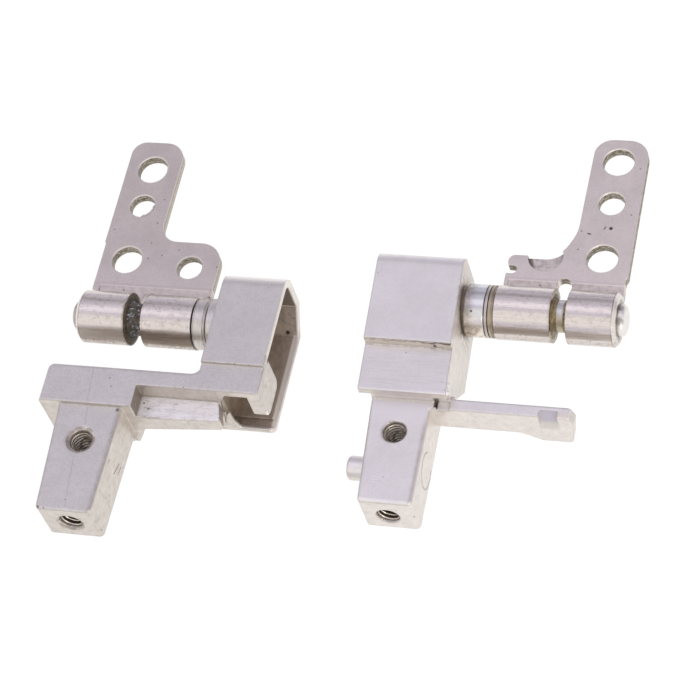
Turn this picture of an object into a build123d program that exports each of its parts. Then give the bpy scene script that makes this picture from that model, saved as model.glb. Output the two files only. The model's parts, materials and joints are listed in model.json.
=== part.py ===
from build123d import *
import math
import os

os.makedirs("parts", exist_ok=True)

# Driving dimensions, all in mm.
# Each hinge is drawn in its own frame: X along the shaft, Y towards the leaf, Z up.
# The middle of the knuckle gap is the origin of that frame.

# Layout of the pair on the table.
AXIS_HEIGHT = 4.5
PAIR_DX = 44.76
PAIR_DY = 3.9

# Barrel, shaft and leaf sheet.
BARREL_R = 2.8
SHEET_T = 1.1
RUN_CLEAR = 0.04
BORE_R = BARREL_R - SHEET_T
SHAFT_R = BORE_R - RUN_CLEAR
LEAF_TOP = -0.5
LEAF_LOW = LEAF_TOP - SHEET_T
BEND_Y = 4.6
EAR_Y = 3.75
ROLL_END_DEG = -16.0
AXIAL_GAP = 0.3
BOSS_R = 2.75
RING_R = 2.72
RING_CLEAR = 0.03
RING_GAP = 0.1
TIP_ROUND = 0.6
SHAFT_PROUD = 0.25

# Joining and cutting: forms run into one another by FUSE, and cutters run past a face by PAST.
FUSE = 0.5
PAST = 1.0

# Leaf holes and edges.
BIG_HOLE_R = 1.65
SMALL_HOLE_R = 1.37
HOLE_RIM = 0.1
EAR_INSET = 0.1
LEAF_END_R = 2.2

# Left leaf: a long tongue with a short foot beside it.
L_LEAF_X0 = -6.85
L_LEAF_X1 = -0.8
L_LEAF_END = 23.1
L_LEAF_CORNER_R = 1.6
L_EAR_X0 = -6.7
L_JOG_Y = (9.55, 9.8)
L_FOOT_X1 = 6.68
L_FOOT_END = 10.35
L_FOOT_R = 2.5
L_FOOT_INNER_R = 2.1
L_BIG_HOLES = ((-3.78, 7.7), (-3.88, 19.5))
L_SMALL_HOLES = ((-3.84, 14.7), (3.5, 7.2))

# Right leaf: a long tongue, a hooked foot and a shallow half-round recess.
R_LEAF_X0 = -0.3
R_LEAF_X1 = 5.75
R_LEAF_END_X1 = 5.45
R_LEAF_END = 22.5
R_LEAF_CORNER_R = 1.9
R_LEAF_ROOT = (5.0, 5.6)
R_ROOT_INSET = 0.25
R_FLARE_Y = 10.6
R_FLARE_X = -1.7
R_FLARE_R = 4.5
R_FLARE_FOOT_R = 2.6
R_HOOK_X0 = -6.98
R_HOOK_END = 7.4
R_HOOK_R = 0.7
R_HOOK_GAP = (5.12, 6.15)
R_HOOK_GAP_X = -5.9
R_HOOK_GAP_R = 0.5
R_NECK_SLOT_X = (-1.45, 0.15)
R_NECK_SLOT_Y = (2.2, 4.9)
R_NECK_SLOT_R = 0.75
R_RECESS = (-3.18, 7.45)
R_RECESS_R = 1.84
R_RECESS_DEEP = 0.55
R_BIG_HOLES = ((2.75, 7.58), (2.48, 19.7))
R_SMALL_HOLES = ((2.6, 14.42),)

# Tapped holes for M2.5 screws: wall radius, and mouths that open by MOUTH_SLOPE depth per width.
THREAD_R = 1.2
MOUTH_SLOPE = 0.6
LEFT_MOUTH_R = 1.57
RIGHT_MOUTH_R = 1.32
LEFT_END_MOUTH_R = 1.5
END_HOLE_DEEP = 5.0

# Cast blocks, section in the Y-Z plane.
BLOCK_TOP = 4.0
BLOCK_BACK = 4.45
BLOCK_LOW = -AXIS_HEIGHT
BACK_LOW_Z = -1.5
SLOPE_Y = 1.95
BACK_ROUND = 1.75
BLOCK_SOFT = 0.3
WALL = 0.8

# Left bracket.
L_KNUCKLE_X0 = -6.4
L_KNUCKLE_X1 = 6.5
L_END_CHAMFER = 0.35
L_GAP_HALF = 0.96
L_RING_T = 0.98
L_BOSS_GAP = 0.4
L_BLOCK_X0 = 9.47
L_BLOCK_X1 = 16.18
L_WEB = 1.75
L_STEP_Y = -6.8
L_ARM_TOP = 3.62
L_ARM_BACK = -8.0
L_ARM_FRONT = -12.46
L_NARROW_FRONT = -9.9
L_ARM_X0 = -7.04
L_POCKET_X0 = 3.12
L_POCKET_X1 = 11.5
L_SHELF_TIP_X = 12.1
L_POCKET_Z = 1.36
L_SHELF_LOW = -1.0
L_SHELF_LOW_END = -0.42
L_SHELF_END_FRONT = -12.12
L_SHELF_ROUND = 0.6
L_WIDE_LOW = -3.6
L_WIDE_SLANT = (0.95, -1.7)
L_POST_LOW = -2.04
L_GUSSET = 1.05
L_CORNER_R = 0.7
L_INNER_R = 1.0
L_INNER_RISE = 3.0
L_ARM_EDGE = 0.35
L_SHELF_DROP = 1.5
L_GUSSET_INSET = 0.15
L_POST_TOP = 3.12
L_POST_END = -24.7
L_POST_X0 = -4.85
L_POST_X1 = 2.06
L_POST_END_X0 = -4.07
L_POST_END_X1 = 1.86
L_FACE_HOLE = (-1.36, -16.5)
L_END_HOLE = (-1.01, 0.45)
L_FLOOR_T = 0.5
L_SILL_T = 0.75
L_LIP = 0.35
L_FLOOR_R = 0.7
L_WINDOW_X0 = 12.4
L_SLIT_X = 11.15
L_SLIT_LOW = -3.0
L_FANG = (11.95, -0.6)
L_FANG_FOOT_X = 12.6
L_FANG_WAIST = (0.42, 0.3)
L_RIB_X0 = 14.85
L_RIB_LOW = -1.45
L_RIB_BACK = -5.55
L_RIB_R = 1.2
L_RIB_BACK_R = 0.9
L_ROOF_STEP = 0.3
L_ROOF_T = 0.95
L_TIP_X = -7.25

# Right bracket.
R_KNUCKLE_X0 = -6.62
R_KNUCKLE_X1 = 5.9
R_GAP_HALF = 0.82
R_END_CHAMFER = 0.33
R_RING_T = 0.29
R_BLOCK_X0 = -18.85
R_BLOCK_X1 = -9.75
R_SIDE_LEAN = -0.057
R_WEB = 2.2
R_STEP_Y = -6.46
R_STEP_RUN = 0.1
R_PLATE_TOP = 3.0
R_PLATE_T = 1.1
R_PLATE_FRONT = -11.88
R_FRONT = -11.05
R_FRONT_LOW_Z = 0.0
R_LOW_FRONT = -7.2
R_POST_TOP = 0.75
R_POST_LOW = -4.28
R_POST_END = -23.34
R_POST_X0 = -17.6
R_POST_X1 = -11.35
R_POST_END_X0 = -16.7
R_POST_END_X1 = -11.05
R_FACE_HOLE = (-14.42, -15.27)
R_END_HOLE = (-13.99, -2.1)
R_PEG = (-18.35, -1.9)
R_PEG_R = 1.25
R_PEG_LEN = 1.75
R_PEG_SUNK = 2.0
R_PEG_EDGE = 0.2
R_FINGER_Y0 = -12.26
R_FINGER_Y1 = -11.05
R_FINGER_TOP = 0.72
R_FINGER_LOW = -2.75
R_FINGER_BULGE = -3.95
R_FINGER_X1 = 3.2
R_FINGER_END = (0.5, -0.5, 0.4)
R_BULGE_X = (-2.6, -0.4)
R_ROOT_X1 = 0.55
R_ROOT_Z = (-0.8, 0.37)
R_SLOT_X = 0.28
R_SLOT_W = 0.36
R_SLOT_LOW = -0.6
R_LEDGE_W = 1.3
R_LEDGE_DEEP = 0.3
R_NOTCH_X = (-0.3, 1.6)
R_NOTCH_RUN = 0.75
R_NOTCH_DEEP = 2.3
R_SHOULDER_X = -9.75
R_GROOVE_R = 2.45
R_TIP_X = 6.66

L_POST_EDGE = 0.18
R_POST_EDGE = 0.35
POST_CORNER_R = 0.5

# The pair is centred on the origin of the shared frame.
LEFT_X = -(L_TIP_X + PAIR_DX + R_TIP_X) / 2
LEFT_Y = -(L_POST_END + PAIR_DY + R_LEAF_END) / 2
RIGHT_X = LEFT_X + PAIR_DX
RIGHT_Y = LEFT_Y + PAIR_DY


def outline(points, radii=None):
    """Closed face through 2-D points; each corner is rounded by its own radius."""
    count = len(points)
    radii = radii or [0.0] * count
    starts = []
    ends = []
    mids = []
    for i in range(count):
        p = Vector(*points[i])
        a = (Vector(*points[i - 1]) - p).normalized()
        b = (Vector(*points[(i + 1) % count]) - p).normalized()
        r = radii[i]
        if r <= 0:
            starts.append(p)
            ends.append(p)
            mids.append(None)
            continue
        half = math.acos(max(-1.0, min(1.0, a.dot(b)))) / 2
        reach = r / math.tan(half)
        axis = (a + b).normalized()
        starts.append(p + a * reach)
        ends.append(p + b * reach)
        mids.append(p + axis * (r / math.sin(half) - r))
    edges = []
    for i in range(count):
        if mids[i] is not None:
            edges.append(Edge.make_three_point_arc(starts[i], mids[i], ends[i]))
        nxt = starts[(i + 1) % count]
        if (nxt - ends[i]).length > 1e-6:
            edges.append(Edge.make_line(ends[i], nxt))
    return Face(Wire(edges))


def slab_z(face, z0, z1):
    return extrude(Plane.XY.offset(z0) * face, z1 - z0, dir=(0, 0, 1))


def slab_x(face, x0, x1):
    return extrude(Plane.YZ.offset(x0) * face, x1 - x0, dir=(1, 0, 0))


def slab_y(face, y0, y1):
    return extrude(Plane.XZ.offset(-y1) * face, y1 - y0, dir=(0, -1, 0))


def box(x0, x1, y0, y1, z0, z1):
    return Pos((x0 + x1) / 2, (y0 + y1) / 2, (z0 + z1) / 2) * Box(x1 - x0, y1 - y0, z1 - z0)


def rod_x(x0, x1, r, y=0.0, z=0.0):
    return Pos((x0 + x1) / 2, y, z) * Rot(0, 90, 0) * Cylinder(r, x1 - x0)


def drill_down(x, y, top, deep, r):
    return Pos(x, y, top - deep / 2) * Cylinder(r, deep)


def mouth_down(x, y, top, r0, r1):
    """Countersink that opens upwards from r0 to r1."""
    deep = (r1 - r0) * MOUTH_SLOPE
    return Pos(x, y, top - deep / 2) * Cone(r0, r1, deep)


def drill_back(x, z, front, deep, r):
    return Pos(x, front + deep / 2, z) * Rot(90, 0, 0) * Cylinder(r, deep)


def mouth_back(x, z, front, r0, r1):
    deep = (r1 - r0) * MOUTH_SLOPE
    return Pos(x, front + deep / 2, z) * Rot(90, 0, 0) * Cone(r0, r1, deep)


def block_section(front, low_front, front_low_z, inset=0.0):
    """Section of a block: flat floor, sloped lower back, upright back, rounded top edge.

    The lower front is upright, or slopes from (low_front, floor) to (front, front_low_z).
    """
    slope = math.atan2(BACK_LOW_Z - BLOCK_LOW, BLOCK_BACK - SLOPE_Y)
    k = inset * math.tan((math.pi / 2 - slope) / 2)
    m = inset * math.tan(slope / 2)
    points = [
        (low_front + inset * 0.55, BLOCK_LOW + inset),
        (SLOPE_Y - m, BLOCK_LOW + inset),
        (BLOCK_BACK - inset, BACK_LOW_Z + k),
        (BLOCK_BACK - inset, BLOCK_TOP - inset),
        (front + inset, BLOCK_TOP - inset),
        (front + inset, front_low_z + inset * 0.55),
    ]
    soft = 0.0 if inset else BLOCK_SOFT
    radii = [soft, soft, soft, max(BACK_ROUND - inset, 0.2), 0.0, soft]
    if low_front == front:
        points.pop()
        points[0] = (front + inset, BLOCK_LOW + inset)
        radii.pop()
    return outline(points, radii)


def knuckle_section():
    """Sheet section: flat leaf, bend line, sloped neck tangent to the barrel, then the roll."""
    reach = math.hypot(BEND_Y, LEAF_LOW)
    slope = math.asin(BARREL_R / reach) - math.atan2(-LEAF_LOW, BEND_Y)
    run = math.sqrt(reach * reach - BARREL_R * BARREL_R)
    low_y = BEND_Y - run * math.cos(slope)
    low_z = LEAF_LOW - run * math.sin(slope)
    start = math.atan2(low_z, low_y)
    finish = math.radians(ROLL_END_DEG)

    def at(r, angle):
        return Vector(r * math.cos(angle), r * math.sin(angle))

    middle = (start + finish - 2 * math.pi) / 2
    bend_top = Vector(BEND_Y - SHEET_T * math.tan(slope / 2), LEAF_TOP)
    bend_low = Vector(BEND_Y, LEAF_LOW)
    edges = [
        Edge.make_line(Vector(BEND_Y + FUSE, LEAF_LOW), bend_low),
        Edge.make_line(bend_low, at(BARREL_R, start)),
        Edge.make_three_point_arc(at(BARREL_R, start), at(BARREL_R, middle), at(BARREL_R, finish)),
        Edge.make_line(at(BARREL_R, finish), at(BORE_R, finish)),
        Edge.make_three_point_arc(at(BORE_R, finish), at(BORE_R, middle), at(BORE_R, start)),
        Edge.make_line(at(BORE_R, start), bend_top),
        Edge.make_line(bend_top, Vector(BEND_Y + FUSE, LEAF_TOP)),
        Edge.make_line(Vector(BEND_Y + FUSE, LEAF_TOP), Vector(BEND_Y + FUSE, LEAF_LOW)),
    ]
    return Face(Wire(edges))


def knuckle(x0, x1):
    return slab_x(knuckle_section(), x0, x1)


def gap_cut(half):
    """Opening between the two knuckles, rounded where it ends in the neck."""
    low = -BARREL_R - PAST
    face = outline(
        [(-half, low), (half, low), (half, EAR_Y), (-half, EAR_Y)],
        [0, 0, half * 0.9, half * 0.9],
    )
    return slab_z(face, low, -low)


def sheet_hole(x, y, r):
    """Screw hole through the sheet, its upper edge broken by HOLE_RIM."""
    hole = Pos(x, y, (LEAF_TOP + LEAF_LOW) / 2) * Cylinder(r, 3 * SHEET_T)
    return hole + Pos(x, y, LEAF_TOP) * Cone(r, r + 2 * HOLE_RIM, 2 * HOLE_RIM)


def shaft(tip_x, far_x):
    """Round shaft with a domed free end at tip_x."""
    rod = rod_x(min(tip_x, far_x), max(tip_x, far_x), SHAFT_R)
    ends = rod.edges().filter_by(GeomType.CIRCLE).sort_by(Axis.X)
    free = ends[0] if tip_x < far_x else ends[-1]
    return fillet(free, TIP_ROUND)


def ring(x0, x1):
    return rod_x(x0, x1, RING_R) - rod_x(x0, x1, SHAFT_R + RING_CLEAR)


def drilled(leaf, big_holes, small_holes):
    for x, y in big_holes:
        leaf -= sheet_hole(x, y, BIG_HOLE_R)
    for x, y in small_holes:
        leaf -= sheet_hole(x, y, SMALL_HOLE_R)
    return leaf


def left_leaf():
    free = L_KNUCKLE_X0 + L_END_CHAMFER
    in0 = free + EAR_INSET
    in1 = L_KNUCKLE_X1 - EAR_INSET
    face = outline(
        [(L_EAR_X0, EAR_Y), (in0, EAR_Y), (in0, BEND_Y), (in1, BEND_Y), (in1, EAR_Y),
         (L_FOOT_X1, EAR_Y), (L_FOOT_X1, L_FOOT_END), (L_LEAF_X1, L_FOOT_END),
         (L_LEAF_X1, L_LEAF_END), (L_LEAF_X0, L_LEAF_END), (L_LEAF_X0, L_JOG_Y[1]),
         (L_EAR_X0, L_JOG_Y[0])],
        [0, 0, 0, 0, 0, 0, L_FOOT_R, L_FOOT_INNER_R, LEAF_END_R, L_LEAF_CORNER_R, 0, 0],
    )
    leaf = slab_z(face, LEAF_LOW, LEAF_TOP)
    leaf += knuckle(free, L_KNUCKLE_X1)
    leaf += chamfered_end(free, L_KNUCKLE_X0)
    leaf -= gap_cut(L_GAP_HALF)
    return drilled(leaf, L_BIG_HOLES, L_SMALL_HOLES)


def right_leaf():
    in0 = R_KNUCKLE_X0 + EAR_INSET / 2
    in1 = R_LEAF_X1 - R_ROOT_INSET
    gap0, gap1 = R_HOOK_GAP
    face = outline(
        [(R_HOOK_X0, EAR_Y), (in0, EAR_Y), (in0, BEND_Y), (in1, BEND_Y), (in1, R_LEAF_ROOT[0]),
         (R_LEAF_X1, R_LEAF_ROOT[1]), (R_LEAF_END_X1, R_LEAF_END), (R_LEAF_X0, R_LEAF_END),
         (R_LEAF_X0, R_FLARE_Y), (R_FLARE_X, R_HOOK_END), (R_HOOK_X0, R_HOOK_END),
         (R_HOOK_X0, gap1), (R_HOOK_GAP_X, gap1), (R_HOOK_GAP_X, gap0), (R_HOOK_X0, gap0)],
        [0, 0, 0, 0, 0, 0, LEAF_END_R, R_LEAF_CORNER_R, R_FLARE_R, R_FLARE_FOOT_R, R_HOOK_R,
         R_HOOK_GAP_R / 2, R_HOOK_GAP_R, R_HOOK_GAP_R, 0],
    )
    leaf = slab_z(face, LEAF_LOW, LEAF_TOP)
    free = R_KNUCKLE_X1 - R_END_CHAMFER
    leaf += knuckle(R_KNUCKLE_X0, free)
    leaf += chamfered_end(free, R_KNUCKLE_X1)
    leaf -= gap_cut(R_GAP_HALF)
    x0, x1 = R_NECK_SLOT_X
    y0, y1 = R_NECK_SLOT_Y
    slot = outline([(x0, y0), (x1, y0), (x1, y1), (x0, y1)], [0, 0, R_NECK_SLOT_R, R_NECK_SLOT_R])
    slot = slab_z(slot, LEAF_LOW - 2 * PAST, LEAF_TOP + FUSE)
    leaf -= slot - rod_x(x0 - PAST, x1 + PAST, BARREL_R)
    leaf -= Pos(R_RECESS[0], R_RECESS[1], LEAF_TOP) * Cylinder(R_RECESS_R, 2 * R_RECESS_DEEP)
    return drilled(leaf, R_BIG_HOLES, R_SMALL_HOLES)


def chamfered_end(root_x, tip_x):
    """Outer end of a free knuckle, cut by a cone that narrows from root_x to tip_x."""
    cut = abs(tip_x - root_x)
    end = slab_x(knuckle_section(), min(root_x, tip_x), max(root_x, tip_x))
    cone = Pos((root_x + tip_x) / 2, 0, 0) * Rot(0, 90 if tip_x > root_x else -90, 0)
    return end & (cone * Cone(BARREL_R, BARREL_R - cut, cut))


def left_bracket():
    block = slab_x(block_section(L_NARROW_FRONT, L_NARROW_FRONT, 0), L_BLOCK_X0, L_BLOCK_X1)
    block -= box(L_BLOCK_X0 - PAST, L_BLOCK_X1 + PAST, L_NARROW_FRONT - PAST, L_STEP_Y,
                 L_ARM_TOP, BLOCK_TOP + PAST)

    # Cable channel, open to +X and through the front window.
    web = L_BLOCK_X0 + L_WEB
    roof = L_ARM_TOP - L_ROOF_T
    floor = BLOCK_LOW + L_FLOOR_T
    sill = BLOCK_LOW + L_SILL_T
    out = L_BLOCK_X1 + PAST
    front = L_NARROW_FRONT - PAST
    room = slab_x(block_section(L_NARROW_FRONT, L_NARROW_FRONT, 0, WALL), web, out)
    room -= box(web - PAST, out + PAST, front, L_RIB_BACK - L_ROOF_STEP, roof, BLOCK_TOP)
    block -= room
    window = outline(
        [(L_WINDOW_X0, roof), (L_SLIT_X + FUSE, L_POCKET_Z), (L_SLIT_X, L_SLIT_LOW), L_FANG,
         (L_FANG_FOOT_X - L_FANG_WAIST[0], L_SLIT_LOW + L_FANG_WAIST[1]), (L_FANG_FOOT_X, sill),
         (out, sill), (out, roof)],
        [0.2, 0, 0, 0.12, 0.4, 0.3, 0, 0],
    )
    block -= slab_y(window, front, L_NARROW_FRONT + WALL)
    lip = L_NARROW_FRONT + L_LIP
    block -= box(web, out, lip, L_NARROW_FRONT + WALL + FUSE, floor, roof)
    block -= box(web, out, lip, SLOPE_Y - WALL, floor, sill)
    turn_x = L_BLOCK_X1 - L_FLOOR_R
    turn_y = L_NARROW_FRONT + L_FLOOR_R
    corner = box(turn_x, out, front, turn_y, BLOCK_LOW - PAST, sill)
    block -= corner - Pos(turn_x, turn_y, BLOCK_LOW) * Cylinder(L_FLOOR_R, 3 * PAST)
    lobe_top = roof + L_ROOF_STEP
    lobe = outline(
        [(L_NARROW_FRONT, lobe_top), (L_NARROW_FRONT, L_RIB_LOW), (L_RIB_BACK, L_RIB_LOW),
         (L_RIB_BACK, lobe_top)],
        [0, L_RIB_R, L_RIB_BACK_R, 0],
    )
    block += slab_x(lobe, L_RIB_X0, L_BLOCK_X1)

    # Arm: wide end behind the post, narrow wall, and the shelf in front of it.
    wide = outline(
        [(L_ARM_X0, L_ARM_FRONT), (L_POCKET_X0, L_ARM_FRONT), (L_POCKET_X0, L_ARM_BACK),
         (L_ARM_X0, L_ARM_BACK)],
        [0, 0, 0, L_CORNER_R],
    )
    arm = slab_z(wide, L_WIDE_LOW, L_ARM_TOP)
    pocket_in = L_POCKET_X0 - FUSE
    block_in = L_BLOCK_X0 + FUSE
    rise = L_ARM_BACK + L_INNER_RISE
    narrow = outline(
        [(pocket_in, L_NARROW_FRONT), (block_in, L_NARROW_FRONT), (block_in, rise),
         (L_BLOCK_X0, rise), (L_BLOCK_X0, L_ARM_BACK), (pocket_in, L_ARM_BACK)],
        [0, 0, 0, 0, L_INNER_R, 0],
    )
    arm += slab_z(narrow, L_SHELF_LOW, L_ARM_TOP)
    drop = L_SHELF_LOW - L_SHELF_DROP
    shelf = outline(
        [(pocket_in, drop), (L_POCKET_X0, drop), (L_POCKET_X0, L_SHELF_LOW),
         (L_SHELF_TIP_X, L_SHELF_LOW_END), (L_SHELF_TIP_X, L_POCKET_Z), (pocket_in, L_POCKET_Z)],
        [0, 0, L_SHELF_ROUND, 0, 0, 0],
    )
    shelf = slab_y(shelf, L_ARM_FRONT, L_ARM_BACK - FUSE)
    beyond = L_SHELF_TIP_X + PAST
    trim = outline(
        [(L_POCKET_X0, L_ARM_FRONT), (L_SHELF_TIP_X, L_SHELF_END_FRONT), (L_POCKET_X1, L_NARROW_FRONT),
         (L_SLIT_X, L_NARROW_FRONT), (L_SLIT_X, L_ARM_BACK), (beyond, L_ARM_BACK),
         (beyond, L_ARM_FRONT - PAST), (L_POCKET_X0, L_ARM_FRONT - PAST)],
        [0, 0.3, 0, 0, 0, 0, 0, 0],
    )
    arm += shelf - slab_z(trim, L_WIDE_LOW, L_ARM_TOP)
    slant, slant_z = L_WIDE_SLANT
    wedge = outline(
        [(L_POCKET_X0, slant_z), (L_POCKET_X0 + PAST, slant_z), (L_POCKET_X0 + PAST, L_WIDE_LOW - PAST),
         (L_POCKET_X0 - slant - FUSE, L_WIDE_LOW - PAST), (L_POCKET_X0 - slant, L_WIDE_LOW)],
    )
    arm -= slab_y(wedge, L_ARM_FRONT - PAST, L_ARM_BACK + PAST)
    arm = fillet(left_arm_edges(arm), L_ARM_EDGE)

    root = L_ARM_FRONT + FUSE
    post = outline(
        [(L_POST_X0, root), (L_POST_X0, L_ARM_FRONT), (L_POST_END_X0, L_POST_END),
         (L_POST_END_X1, L_POST_END), (L_POST_X1, L_ARM_FRONT), (L_POST_X1, root)],
        [0, 0, POST_CORNER_R, POST_CORNER_R, 0, 0],
    )
    post = slab_z(post, L_POST_LOW, L_POST_TOP)
    post = fillet(post_edges(post, L_ARM_FRONT), L_POST_EDGE)
    foot = L_WIDE_LOW + L_GUSSET_INSET
    toe = L_ARM_FRONT - L_GUSSET
    gusset = outline(
        [(root, foot), (L_ARM_FRONT, foot), (toe, L_POST_LOW), (toe, L_POST_LOW + FUSE),
         (root, L_POST_LOW + FUSE)],
    )
    post += slab_x(gusset, L_POST_X0 + L_GUSSET_INSET, L_POST_X1 - L_GUSSET_INSET)

    boss = rod_x(boss_left_x0(), block_in, BOSS_R)
    body = block + arm + post + boss
    body -= rod_x(boss_left_x0() - PAST, web, SHAFT_R)

    x, y = L_FACE_HOLE
    body -= drill_down(x, y, L_POST_TOP, L_POST_TOP - L_POST_LOW, THREAD_R)
    body -= mouth_down(x, y, L_POST_TOP, THREAD_R, LEFT_MOUTH_R)
    x, z = L_END_HOLE
    body -= drill_back(x, z, L_POST_END, END_HOLE_DEEP, THREAD_R)
    body -= mouth_back(x, z, L_POST_END, THREAD_R, LEFT_END_MOUTH_R)
    return body


def boss_left_x0():
    return L_KNUCKLE_X1 + AXIAL_GAP + L_RING_T + L_BOSS_GAP


def left_arm_edges(arm):
    """Top edges round the free left end of the arm."""
    top = arm.faces().sort_by(Axis.Z)[-1]
    return [e for e in top.edges() if e.center().X < L_ARM_X0 + PAST]


def post_edges(post, root):
    """Long top edges of a post and the top edge of its end."""
    face = post.faces().sort_by(Axis.Z)[-1]
    return [e for e in face.edges() if e.center().Y < root]


def right_bracket():
    block = slab_x(block_section(R_FRONT, R_LOW_FRONT, R_FRONT_LOW_Z), R_BLOCK_X0 - PAST, R_BLOCK_X1 + PAST)
    above = BLOCK_TOP + PAST
    ahead = R_PLATE_FRONT - PAST
    step = outline(
        [(ahead, above), (ahead, R_PLATE_TOP), (R_STEP_Y - R_STEP_RUN, R_PLATE_TOP),
         (R_STEP_Y, BLOCK_TOP), (R_STEP_Y, above)],
        [0, 0, 0.15, 0.12, 0],
    )
    block -= slab_x(step, R_BLOCK_X0 - 2 * PAST, R_BLOCK_X1 + 2 * PAST)
    plate_low = R_PLATE_TOP - R_PLATE_T
    plate = outline(
        [(R_PLATE_FRONT, plate_low), (R_STEP_Y - FUSE, plate_low), (R_STEP_Y - FUSE, R_PLATE_TOP),
         (R_PLATE_FRONT, R_PLATE_TOP)],
        [0.3, 0, 0, 0.12],
    )
    block += slab_x(plate, R_BLOCK_X0 - PAST, R_BLOCK_X1 + PAST)
    behind = BLOCK_BACK + PAST
    plan = outline(
        [(lean(R_BLOCK_X0, ahead), ahead), (lean(R_BLOCK_X1, ahead), ahead),
         (lean(R_BLOCK_X1, behind), behind), (lean(R_BLOCK_X0, behind), behind)],
    )
    block &= slab_z(plan, BLOCK_LOW - PAST, above)

    # Cable channel, mirrored from the left hinge: open to -X.
    web = R_BLOCK_X1 - R_WEB
    out = R_BLOCK_X0 - 2 * PAST
    room = slab_x(block_section(R_FRONT, R_LOW_FRONT, R_FRONT_LOW_Z, WALL), out, web)
    room -= box(out - PAST, web + PAST, ahead, R_STEP_Y + WALL, plate_low, BLOCK_TOP)
    block -= room
    block -= box(out, R_POST_X0, ahead, R_LOW_FRONT, BLOCK_LOW, plate_low)

    root_y = R_FRONT + FUSE
    post = outline(
        [(R_POST_X0, root_y), (R_POST_X0, R_PLATE_FRONT), (R_POST_END_X0, R_POST_END),
         (R_POST_END_X1, R_POST_END), (R_POST_X1, R_PLATE_FRONT), (R_POST_X1, root_y)],
        [0, 0, POST_CORNER_R, POST_CORNER_R, 0, 0],
    )
    post = slab_z(post, R_POST_LOW, R_POST_TOP)
    post = fillet(post_edges(post, R_PLATE_FRONT), R_POST_EDGE)
    under_plate = box(R_POST_X0, R_BLOCK_X1, (R_PLATE_FRONT + R_FRONT) / 2, root_y,
                      R_FRONT_LOW_Z, plate_low + FUSE)

    root_x = R_POST_X1 - FUSE
    end_in, end_z, end_top = R_FINGER_END
    finger = outline(
        [(root_x, R_FINGER_LOW), (R_BULGE_X[0], R_FINGER_LOW), (R_BULGE_X[1], R_FINGER_BULGE),
         (R_FINGER_X1 - end_in, R_FINGER_BULGE), (R_FINGER_X1, end_z),
         (R_FINGER_X1 - end_top, R_FINGER_TOP), (root_x, R_FINGER_TOP)],
        [0, 1.2, 0.5, 0.6, 0.8, 0.5, 0],
    )
    finger = slab_y(finger, R_FINGER_Y0, R_FINGER_Y1)
    root = box(root_x, R_BLOCK_X1 + R_ROOT_X1, R_FINGER_Y1 - FUSE, root_y, *R_ROOT_Z)
    ramp_y = R_FINGER_Y0 + R_NOTCH_RUN
    ramp = outline(
        [(R_FINGER_Y0, R_FINGER_TOP - R_NOTCH_DEEP), (ramp_y, R_FINGER_TOP),
         (ramp_y, R_FINGER_TOP + PAST), (R_FINGER_Y0 - PAST, R_FINGER_TOP + PAST),
         (R_FINGER_Y0 - PAST, R_FINGER_TOP - R_NOTCH_DEEP)],
    )
    finger -= slab_x(ramp, *R_NOTCH_X)

    boss = rod_x(R_BLOCK_X1 - 2 * FUSE, R_SHOULDER_X, R_GROOVE_R)
    boss += rod_x(R_SHOULDER_X, boss_right_x1(), BOSS_R)
    peg = rod_x(R_POST_X0 + 0.3 - R_PEG_LEN, R_POST_X0 + R_PEG_SUNK, R_PEG_R, *R_PEG)
    peg = chamfer(peg.edges().filter_by(GeomType.CIRCLE).sort_by(Axis.X)[0], R_PEG_EDGE)

    body = block + post + under_plate + finger + root + boss + peg
    body -= rod_x(web - PAST, boss_right_x1() + PAST, SHAFT_R)
    slot_x = R_POST_X1 + R_SLOT_X
    ledge_x = slot_x + R_SLOT_W
    body -= box(slot_x, ledge_x, R_FINGER_Y0 + 0.15, R_FINGER_Y1 - 0.05, R_SLOT_LOW, R_FINGER_TOP + PAST)
    body -= box(ledge_x - 0.05, ledge_x + R_LEDGE_W, R_FINGER_Y0 - PAST, R_FINGER_Y1 - 0.25,
                R_FINGER_TOP - R_LEDGE_DEEP, R_FINGER_TOP + PAST)

    x, y = R_FACE_HOLE
    body -= drill_down(x, y, R_POST_TOP, R_POST_TOP - R_POST_LOW, THREAD_R)
    body -= mouth_down(x, y, R_POST_TOP, THREAD_R, RIGHT_MOUTH_R)
    x, z = R_END_HOLE
    body -= drill_back(x, z, R_POST_END, END_HOLE_DEEP, THREAD_R)
    body -= mouth_back(x, z, R_POST_END, THREAD_R, RIGHT_MOUTH_R)
    return body


def lean(x, y):
    """Place of a side face of the right block at y; the sides stand slightly askew to the shaft."""
    return x + R_SIDE_LEAN * (y - R_STEP_Y)


def boss_right_x1():
    return R_KNUCKLE_X0 - AXIAL_GAP - 2 * R_RING_T - 2 * RING_GAP


def write(part, name, x, y):
    placed = Pos(x, y, AXIS_HEIGHT) * part
    solids = placed.solids()
    if len(solids) != 1:
        raise ValueError(f"{name} is {len(solids)} solids")
    export_step(solids[0], f"parts/{name}.step")


write(left_bracket(), "left_bracket", LEFT_X, LEFT_Y)
write(left_leaf(), "left_leaf", LEFT_X, LEFT_Y)
write(shaft(L_TIP_X, L_BLOCK_X0 + L_WEB + SHAFT_PROUD), "left_shaft", LEFT_X, LEFT_Y)
ring_x = L_KNUCKLE_X1 + AXIAL_GAP
write(ring(ring_x, ring_x + L_RING_T), "left_ring", LEFT_X, LEFT_Y)

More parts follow.
